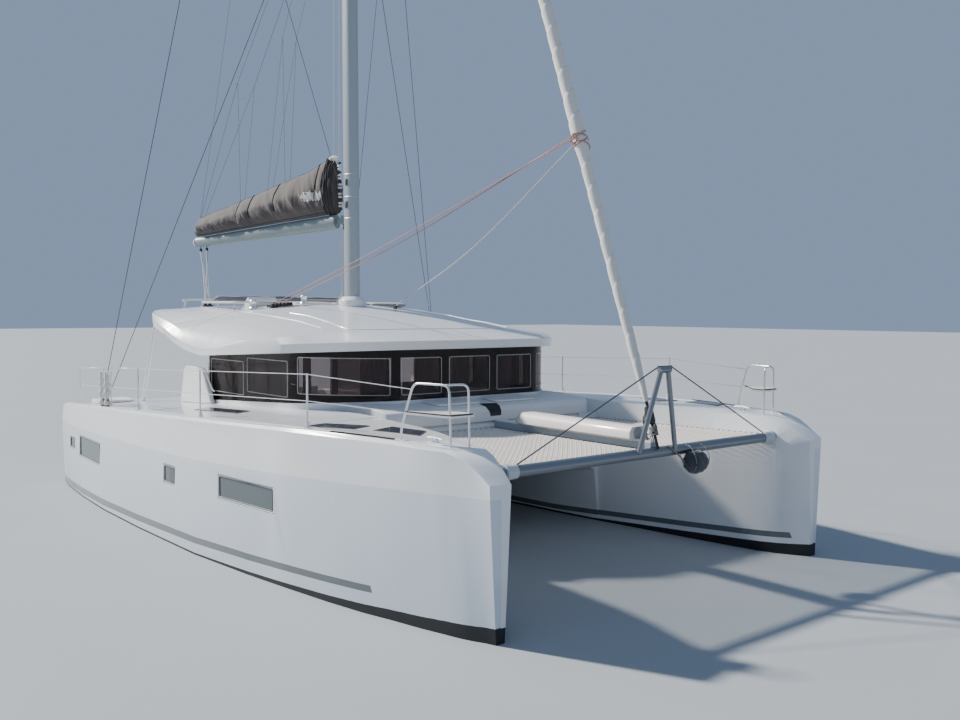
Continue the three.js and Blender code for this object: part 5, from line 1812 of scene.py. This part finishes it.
@dataclass(frozen=True)
class Rig:
    """The mast, its wires, halyards and fittings."""

    # One row per halyard at the mast's foot: how far off the mast, how far to port, its top.
    falls: tuple[Point, ...] = ((0.05, -0.09, 4.72), (0.09, -0.05, 4.78), (0.07, 0.03, 4.68),
                                (0.04, 0.08, 4.8))
    fall_foot: float = 3.72
    # One row per halyard that runs to the masthead: how far to port, its lower end.
    uppers: tuple[tuple[float, float], ...] = ((-0.06, 6.1), (0.05, 6.0))
    upper_top: float = 21.4
    bands: tuple[float, ...] = (5.07, 5.45, 5.85)
    track: tuple[float, float] = (5.3, 21.5)
    diamond_foot: float = 5.2
    # One row per chainplate of one side: x and distance from the centreline.
    chainplates: tuple[tuple[float, float], ...] = ((-3.515, 3.672), (-3.36, 3.641))
    cover_foot: float = 1.75
    cover_height: float = 0.58

    def build(self) -> None:
        """Makes the rig's pieces."""
        dress("mast", ALLOY, crease=40)
        dress("spreaders", ALLOY, crease=40)
        for side, _ in SIDES:
            dress(f"shrouds_{side}", WIRE)
        mast = Skin("mast")
        self.diamonds(mast)
        self.halyards(mast)
        self.fittings(mast)
        self.covers()

    def aft_face(self, mast: Skin, z: float) -> Vector:
        """The aft face of the mast at a height."""
        return mast.hit((-6.0, 0.0, z), (1, 0, 0))

    def diamonds(self, mast: Skin) -> None:
        """Strains the wires from the spreaders' tips down to the mast.

        Args:
            mast: The mast's skin.
        """
        tips = frame["nodes"]["spreaders"].data.vertices
        form = Form()
        for _, s in SIDES:
            tip = max((v.co for v in tips), key=lambda co: s * co.y)
            middle_x = self.aft_face(mast, self.diamond_foot).x + 0.18
            foot = mast.hit((middle_x, s * 2.0, self.diamond_foot), (0, -s, 0))
            form.tube([Vector(tip) + Vector((0.02, -s * 0.02, 0)), foot + Vector((0, -s * 0.01, 0))],
                      0.0055, 6)
        form.piece("diamond_wires", WIRE)

    def halyards(self, mast: Skin) -> None:
        """Leads the halyards down behind the mast, and two from the sail's head to its top.

        Args:
            mast: The mast's skin.
        """
        form = Form()
        for off, y, top in self.falls:
            upper = self.aft_face(mast, top)
            lower = self.aft_face(mast, self.fall_foot)
            turn = (lower.x - off - 0.1, y * 1.6, self.fall_foot - 0.16)
            form.tube([(upper.x - off, y, top), (lower.x - off, y, self.fall_foot), turn], 0.0065, 6)
        for y, low in self.uppers:
            start = self.aft_face(mast, low)
            end = self.aft_face(mast, self.upper_top)
            form.tube([(start.x - 0.22, y - 0.06, low), (end.x - 0.03, y, self.upper_top)], 0.0045, 5)
        form.piece("halyards", ROPE)

    def fittings(self, mast: Skin) -> None:
        """Fits the mast's track, its bands and the small outlets in its sides.

        Args:
            mast: The mast's skin.
        """
        low, high = self.track
        steps = 20
        slot = [self.aft_face(mast, low + (high - low) * i / steps) - Vector((0.004, 0, 0))
                for i in range(steps + 1)]
        Form().tube(slot, 0.012, 6).piece("mast_track", GREY_TRIM)
        bands = Form()
        outlets = Form()
        for z in self.bands:
            aft = self.aft_face(mast, z)
            middle = Vector((aft.x + 0.17, 0, z))
            path = []
            for i in range(28):
                turn = 2 * math.pi * i / 28
                out = Vector((math.cos(turn), math.sin(turn), 0))
                path.append(mast.hit(middle + out, -out))
            bands.tube([p for p in path if p], 0.008, 6, closed=True)
            for s in (1, -1):
                side = mast.hit((middle.x + 0.03, s * 1.0, z - 0.14), (0, -s, 0))
                outlets.block((-0.02, -0.012, -0.055), (0.03, 0.012, 0.055), Matrix.Translation(side))
        bands.piece("mast_bands", ALLOY)
        outlets.piece("mast_outlets", BLACK, edge=0.004)

    def covers(self) -> None:
        """Laces pale chafe covers over the shrouds' screws."""
        form = Form()
        rows = 25
        for _, s in SIDES:
            for x, y in self.chainplates:
                foot = Vector((x, s * y, self.cover_foot))
                rings = []
                for i in range(rows + 1):
                    level = self.cover_height * i / rows
                    bulge = (0.046 + 0.012 * math.sin(level * 40) * (1 - level)
                             + 0.014 * noise.noise(Vector((level * 20, x, s))))
                    middle = foot + Vector((0, 0, level))
                    rings.append(ring(middle, Vector((bulge, 0, 0)), Vector((0, bulge, 0)), 12))
                form.loft(rings)
        form.piece("shroud_screw_covers", SAIL, crease=60)


# Foredeck


@dataclass(frozen=True)
class Nets:
    """The knotted nets between the hulls, their bolt ropes and lashings."""

    aft: float = 2.93
    fore: float = 5.785
    inner: float = 0.11
    level: float = 1.694
    cell: float = 0.042
    cord: float = 0.0056
    zigzag: float = 0.007
    sag: float = 0.012

    def build(self) -> None:
        """Makes both nets."""
        for side, s in SIDES:
            self.net(side, s)

    def outer(self, skin: Skin, x: float, s: int) -> float:
        """The net's half breadth at x."""
        found = skin.abeam(min(max(x, self.aft), self.fore), self.level, s)
        return abs(found.y) - 0.004

    def net(self, side: str, s: int) -> None:
        """Knots one net.

        Args:
            side: Its side's name.
            s: Its side, 1 for port.
        """
        skin = Skin(f"net_{side}")
        columns = round((self.fore - self.aft) / self.cell)
        xs = [self.aft + (self.fore - self.aft) * i / columns for i in range(columns + 1)]
        edge = [self.outer(skin, x, s) for x in xs]
        rows = int((max(edge) - self.inner) / self.cell) + 1
        form = Form()
        for i, x in enumerate(xs):
            run = [self.knot(i, j, x, s, edge[i]) for j in range(rows)
                   if self.inner + j * self.cell < edge[i]]
            form.tube([*run, Vector((x, s * edge[i], self.level))], self.cord, 4)
        for j in range(rows):
            y = self.inner + j * self.cell
            run = [self.knot(i, j, x, s, edge[i]) for i, x in enumerate(xs) if y < edge[i]]
            if len(run) > 1:
                form.tube(run, self.cord, 4)
        net = form.piece(f"net_cords_{side}", NET_CORD, crease=180)
        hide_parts(f"net_{side}")
        area = sum(e - self.inner for e in edge) / len(edge) * (self.fore - self.aft)
        border = self.border(side, s, xs, edge)

    def knot(self, i: int, j: int, x: float, s: int, edge: float) -> Vector:
        """A crossing of two cords.

        Args:
            i: The number of the cord that runs across.
            j: The number of the cord that runs along.
            x: Where the first one lies.
            s: The side, 1 for port.
            edge: The net's half breadth there.

        Returns:
            The crossing.
        """
        share = j * self.cell / (edge - self.inner)
        u = (x - self.aft) / (self.fore - self.aft)
        dip = self.sag * 16 * u * (1 - u) * share * max(0.0, 1 - share)
        sway = self.zigzag * (1 if (i + j) % 2 else -1)
        drift = 0.012 * noise.noise(Vector((x * 1.3, j * 0.07, s)))
        inside = min(u, 1 - u) > 0.01 and j > 0
        return Vector((x + (sway + drift if inside else 0.0), s * (self.inner + j * self.cell),
                       self.level - dip))

    def border(self, side: str, s: int, xs: list[float], edge: list[float]) -> list[bpy.types.Object]:
        """Makes a net's bolt rope and lashings.

        Args:
            side: The net's side.
            s: The side, 1 for port.
            xs: The places of the cords that run across.
            edge: The net's half breadth at each.

        Returns:
            Both pieces.
        """
        outline = [Vector((x, s * e, self.level)) for x, e in zip(xs, edge)]
        outline += [Vector((xs[-1], s * (edge[-1] - 0.05 * k), self.level)) for k in range(1, 46)]
        outline += [Vector((x, s * self.inner, self.level)) for x in reversed(xs)]
        outline += [Vector((xs[0], s * (self.inner + 0.05 * k), self.level)) for k in range(1, 40)]
        rope = Form().tube(outline, 0.011, 6, closed=True).piece(f"net_bolt_rope_{side}", NET_CORD)
        lashings = Form()
        for i in range(0, len(xs) - 1, 2):
            for y, out in ((edge[i], 1), (self.inner, -1)):
                self.lash(lashings, Vector((xs[i], s * y, self.level)),
                          Vector((0.012, s * out * 0.03, 0.012)))
        for k in range(1, 44, 2):
            y = s * (self.inner + 0.05 * k)
            self.lash(lashings, Vector((xs[-1], y, self.level)), Vector((0.03, 0.012, 0.004)))
            if abs(y) < edge[0]:
                self.lash(lashings, Vector((xs[0], y, self.level)), Vector((-0.025, 0.012, 0.012)))
        ties = lashings.piece(f"net_lashings_{side}", DARK_ROPE)
        return [rope, ties]

    def lash(self, form: Form, at: Vector, reach: Vector) -> None:
        """Adds a lashing from inside the net's edge outward."""
        form.tube([at - reach * 0.6, at + Vector((0, 0, 0.012)), at + reach], 0.0055, 5)


@dataclass(frozen=True)
class Foredeck:
    """The crossbeam, striker, pulpits, lifelines and what hangs off the beam."""

    beam_x: float = 5.89
    beam_z: float = 1.672
    casting_y: float = 2.4
    end_disc: Point = (5.617, 0.0, 1.892)
    bundle: Point = (6.01, 0.675, 1.505)
    bundle_size: Point = (0.14, 0.238, 0.168)
    bundle_tie: Point = (5.93, 0.2, 1.75)
    # The outline of a pulpit's seat: x and y of each corner.
    seat: tuple[tuple[float, float], ...] = (
        (4.985, 3.152), (5.51, 3.05), (5.642, 3.005), (5.642, 2.712), (5.43, 2.725),
    )
    seat_top: float = 2.302
    stanchions: tuple[float, ...] = (3.3, 0.55, -1.87, -3.27, -3.7, -5.31)

    def build(self) -> None:
        """Makes the foredeck's pieces."""
        for node in ("crossbeam", "striker"):
            dress(node, BEAM_ALLOY, crease=40)
        dress("striker_stay", WIRE)
        castings = Form()
        profile = [(0.069, -0.09), (0.082, -0.08), (0.086, 0.04), (0.098, 0.05), (0.098, 0.085),
                   (0.069, 0.09)]
        for side, s in SIDES:
            dress(f"pulpit_{side}", STAINLESS, crease=50)
            dress(f"lifelines_{side}", STAINLESS, crease=50)
            castings.turned(profile, (self.beam_x, s * self.casting_y, self.beam_z), (0, s, 0), 24)
            self.seat_board(side, s)
            self.stanchion_feet(side, s)
        castings.piece("beam_castings", PALE_CASTING)
        end = [(0.0, 0.0), (0.078, 0.0), (0.078, 0.012), (0.07, 0.016), (0.0, 0.016)]
        Form().turned(end, self.end_disc, (1, 0, 0), 28).piece("longeron_end_disc", GREY_TRIM)
        self.hung_bundle()

    def seat_board(self, side: str, s: int) -> None:
        """Lays a pale board with a dark edge on a pulpit's seat.

        Args:
            side: The side.
            s: Its sign, 1 for port.
        """
        middle = sum((Vector((x, y, 0)) for x, y in self.seat), Vector()) / len(self.seat)
        corners = [Vector((x, s * y, self.seat_top)) for x, y in self.seat]
        inner = [Vector((middle.x, s * middle.y, self.seat_top)).lerp(corner, 0.93) for corner in corners]
        up = Vector((0, 0, 0.012))
        Form().loft([corners, [c + up for c in corners]]).piece(f"pulpit_seat_edge_{side}", DARK_EDGE)
        Form().loft([[c + up for c in inner],
                     [c + up * 1.35 for c in inner]]).piece(f"pulpit_seat_{side}", SEAT_BOARD)

    def stanchion_feet(self, side: str, s: int) -> None:
        """Stands every stanchion in a base with two short braces.

        Args:
            side: The side.
            s: Its sign, 1 for port.
        """
        rail = Skin(f"lifelines_{side}")
        hull = Skin(f"hull_{side}")
        form = Form()
        for x in self.stanchions:
            level = hull.below(x, s * 3.45).z + 0.25
            post = rail.abeam(x, level, s)
            if post is None:
                continue
            centre = post - Vector((0, s * 0.013, 0))
            foot = hull.below(centre.x, centre.y) or Vector((x, centre.y, level - 0.25))
            form.turned([(0.034, -0.004), (0.034, 0.008), (0.02, 0.014), (0.018, 0.08),
                         (0.014, 0.082)], foot, sides=14)
            for way in (-1, 1):
                toe = hull.below(x + way * 0.075, centre.y - s * 0.01) or foot
                form.tube([foot + Vector((0, 0, 0.11)), toe], 0.006, 6)
                form.turned([(0.018, -0.003), (0.018, 0.006)], toe, sides=10)
        form.piece(f"stanchion_feet_{side}", STAINLESS)

    def hung_bundle(self) -> None:
        """Slings a creased dark cover with its lines under the beam."""
        rings = []
        across, back, up = self.bundle_size[1], self.bundle_size[0], self.bundle_size[2]
        for i in range(37):
            polar = math.pi * (0.01 + 0.98 * i / 36)
            points = []
            for j in range(44):
                turn = 2 * math.pi * j / 44
                way = Vector((math.sin(polar) * math.cos(turn), math.cos(polar),
                              math.sin(polar) * math.sin(turn)))
                crease = 1 - 2 * abs(noise.noise(way * 2.4 + Vector((2, 5, 1))))
                size = 0.86 + 0.09 * noise.noise(way * 3.0) + 0.05 * crease
                points.append(Vector(self.bundle)
                              + Vector((way.x * back, way.y * across, way.z * up)) * size)
            rings.append(points)
        made = Form().loft(rings).piece("beam_line_cover", COVER, crease=80)
        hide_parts("line_bundle")
        middle = Vector(self.bundle)
        form = Form()
        for y in (-0.1, 0.1):
            loop = ring(middle + Vector((-0.035, y, 0.045)), Vector((0.15, y * 0.3, -0.02)),
                        Vector((0, y * 0.2, 0.175)), 26)
            form.tube(loop, 0.005, 6, closed=True)
        form.tube(spline([middle + Vector((-0.02, -0.2, 0.02)), middle + Vector((-0.02, -0.33, 0.12)),
                          Vector(self.bundle_tie)]), 0.01, 6)
        form.piece("beam_line_ties", FLECK_ROPE)


@dataclass(frozen=True)
class DeckFittings:
    """Hatches, cleats, slatted tracks, the locker's vent, deck seams and the helm's handle."""

    # One row per flush hatch of the starboard side: the x and y of its glass's corners.
    starboard: tuple[Corners, ...] = (
        ((-0.66, -3.18), (-0.74, -2.92), (0.56, -2.88), (0.68, -3.14)),
        ((3.11, -3.32), (3.03, -3.02), (3.62, -2.75), (3.76, -3.07)),
        ((4.02, -2.92), (3.85, -2.55), (4.38, -2.43), (4.66, -2.73)),
    )
    # The same to port, where the foremost hatch is turned.
    port: tuple[Corners, ...] = (
        ((-0.66, 3.18), (-0.74, 2.92), (0.56, 2.88), (0.68, 3.14)),
        ((3.11, 3.32), (3.03, 3.02), (3.62, 2.75), (3.76, 3.07)),
        ((4.0, 3.0), (4.0, 3.3), (4.58, 3.22), (4.6, 2.98)),
    )
    cleats: tuple[Point, ...] = ((5.15, 2.86, -0.03), (5.15, -2.86, 0.03), (-5.2, 3.42, 0.02),
                                 (-5.2, -3.42, -0.02))
    track_path: tuple[tuple[float, float], ...] = ((3.82, 3.4), (4.3, 3.3), (4.83, 3.18))
    vent: tuple[Point, ...] = ((2.70, -0.2, 2.05), (2.72, 0.11, 2.04), (2.89, 0.07, 1.885),
                               (2.89, -0.13, 1.885))
    seam: tuple[tuple[float, float], ...] = ((-1.42, 3.54), (-1.5, 3.3), (-1.62, 3.0))
    handle: tuple[Point, ...] = (
        (-1.82, 2.56, 2.37), (-1.7, 2.57, 2.4), (-1.62, 2.57, 2.33), (-1.44, 2.56, 2.12),
        (-1.38, 2.55, 2.07),
    )

    def build(self) -> None:
        """Makes the fittings."""
        skin = Skin("hull_port", "hull_starboard", "bridge_deck", "foredeck_locker")
        rims = Form()
        panes = Form()
        for corners in (*self.starboard, *self.port):
            self.hatch([skin.below(x, y) for x, y in corners], rims, panes)
        rims.piece("deck_hatch_rims", SEAL, edge=0.003)
        panes.piece("deck_hatch_panes", HATCH_GLASS)
        cleats = Form()
        for x, y, lean in self.cleats:
            self.cleat(cleats, skin.below(x, y), Vector((1, lean, 0)).normalized())
        cleats.piece("mooring_cleats", STAINLESS)
        self.tracks(skin)
        self.locker_vent()
        seams = Form()
        for _, s in SIDES:
            seams.tube(skin.laid(spline([(x, s * y, 0) for x, y in self.seam])), 0.004, 6, 0.5)
        seams.piece("deck_seams", SEAL)
        handles = Form()
        for _, s in reversed(SIDES):
            handles.tube([Vector((p.x, s * p.y, p.z)) for p in spline(self.handle)], 0.013, 8)
        handles.piece("side_handles", PALE_TUBE)

    def hatch(self, corners: list[Vector], rims: Form, panes: Form) -> None:
        """Lays a hatch's rim and pane on the deck.

        Args:
            corners: The corners of its glass.
            rims: The form that the rim joins.
            panes: The form that the pane joins.
        """
        middle = sum(corners, Vector()) / 4
        rim = [middle.lerp(corner, 1.06) for corner in corners]
        up = Vector((0, 0, 1))
        rims.loft([[c - up * 0.02 for c in rim], [c + up * 0.008 for c in rim]])
        panes.loft([[c - up * 0.01 for c in corners], [c + up * 0.0125 for c in corners]])

    def cleat(self, form: Form, at: Vector, ahead: Vector) -> None:
        """Adds a horned cleat.

        Args:
            form: The form that it joins.
            at: Its foot.
            ahead: The way that its horns point.
        """
        up = Vector((0, 0, 1))
        horns = [at + ahead * off + up * rise
                 for off, rise in ((-0.13, 0.05), (-0.06, 0.058), (0.06, 0.058), (0.13, 0.05))]
        form.tube(spline(horns), 0.013, 8)
        for way in (-1, 1):
            form.tube([at + ahead * 0.045 * way - up * 0.005, at + ahead * 0.035 * way + up * 0.055],
                      0.012, 8)
        form.turned([(0.05, -0.003), (0.05, 0.004), (0.03, 0.008)], at, sides=16)

    def tracks(self, skin: Skin) -> None:
        """Lays a dark slatted strip beside each forward hatch.

        Args:
            skin: The deck's skin.
        """
        form = Form()
        for _, s in SIDES:
            path = skin.laid(spline([(x, s * y, 0) for x, y in self.track_path], 14))
            for a, b in zip(path, path[1:]):
                ahead = (b - a).normalized()
                out = Vector((-ahead.y, ahead.x, 0))
                low = [a - out * 0.028, a + out * 0.028, a + ahead * 0.022 + out * 0.028,
                       a + ahead * 0.022 - out * 0.028]
                form.loft([[p - Vector((0, 0, 0.006)) for p in low],
                           [p + Vector((0, 0, 0.012)) for p in low]])
        form.piece("deck_tracks", BLACK)

    def locker_vent(self) -> None:
        """Sets a louvred vent in the foredeck locker's sloping face."""
        skin = Skin("foredeck_locker", "bridge_deck")
        corners = [Vector(p) for p in self.vent]
        out = (corners[1] - corners[0]).cross(corners[3] - corners[0]).normalized()
        out = out if out.x > 0 else -out
        rows = []
        tall, wide = 12, 8
        for i in range(tall + 1):
            left, right = corners[0].lerp(corners[3], i / tall), corners[1].lerp(corners[2], i / tall)
            rows.append([skin.hit(left.lerp(right, j / wide) + out * 0.3, -out) for j in range(wide + 1)])
        form = Form().loft([[p - out * 0.006 for p in row] + [p + out * 0.01 for p in reversed(row)]
                            for row in rows])
        for row in rows[2:-1:2]:
            form.tube([p + out * 0.014 for p in row[1:-1]], 0.006, 6)
        form.piece("locker_vent", BLACK)


@dataclass(frozen=True)
class Awning:
    """The folded sun awning on its hoop, and the steering wheel."""

    x: float = -3.935
    low: float = -1.4
    high: float = 1.75
    level: float = 3.618
    radius: float = 0.08
    ties: tuple[float, ...] = (-1.0, -0.3, 0.4, 1.1)

    def build(self) -> None:
        """Makes the awning's pieces."""
        dress("steering_wheel", STAINLESS, crease=50)
        rings = []
        steps = 150
        for i in range(steps + 1):
            share = i / steps
            y = self.low + (self.high - self.low) * share
            middle = Vector((self.x, y, self.level))
            size = self.radius * min(1.0, 0.25 + 14 * min(share, 1 - share) ** 0.8)
            points = []
            for j in range(30):
                turn = 2 * math.pi * j / 30
                fold = noise.noise(Vector((math.cos(turn) * 1.5, math.sin(turn) * 1.5, y * 5)))
                tuck = 0.08 * sum(math.exp(-(((y - tie) / 0.04) ** 2)) for tie in self.ties)
                r = size * (0.95 + 0.1 * fold - tuck)
                points.append(middle + Vector((r * math.cos(turn), 0, r * math.sin(turn))))
            rings.append(points)
        made = Form().loft(rings).piece("awning_roll", AWNING_CLOTH, crease=80)
        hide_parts("folded_bimini")
        leg = [(-3.93, 2.0, 3.43), (-3.934, 1.96, 3.56), (-3.935, 1.86, 3.612)]
        hoop = spline([*((x, -y, z) for x, y, z in leg), (-3.935, 0, 3.62), *reversed(leg)], 8)
        Form().tube(hoop, 0.016, 8).piece("awning_hoop", PALE_TUBE)


def main() -> None:
    """Builds the stage and every sub-assembly in order."""
    logging.basicConfig(level=logging.INFO, format="%(message)s")
    studio = Studio()
    studio.camera()
    parts = (Hulls(), Deckhouse(), RoofGear(), Seating(), Rig(), Boom(), Headsail(), Nets(), Foredeck(),
             DeckFittings(), Awning())
    for part in parts:
        known = set(bpy.data.objects.keys())
        part.build()
        for name in sorted(set(bpy.data.objects.keys()) - known):
            log.info("%s: %s", type(part).__name__, name)
    studio.floor()
    studio.light()


if __name__ == "__main__":
    main()
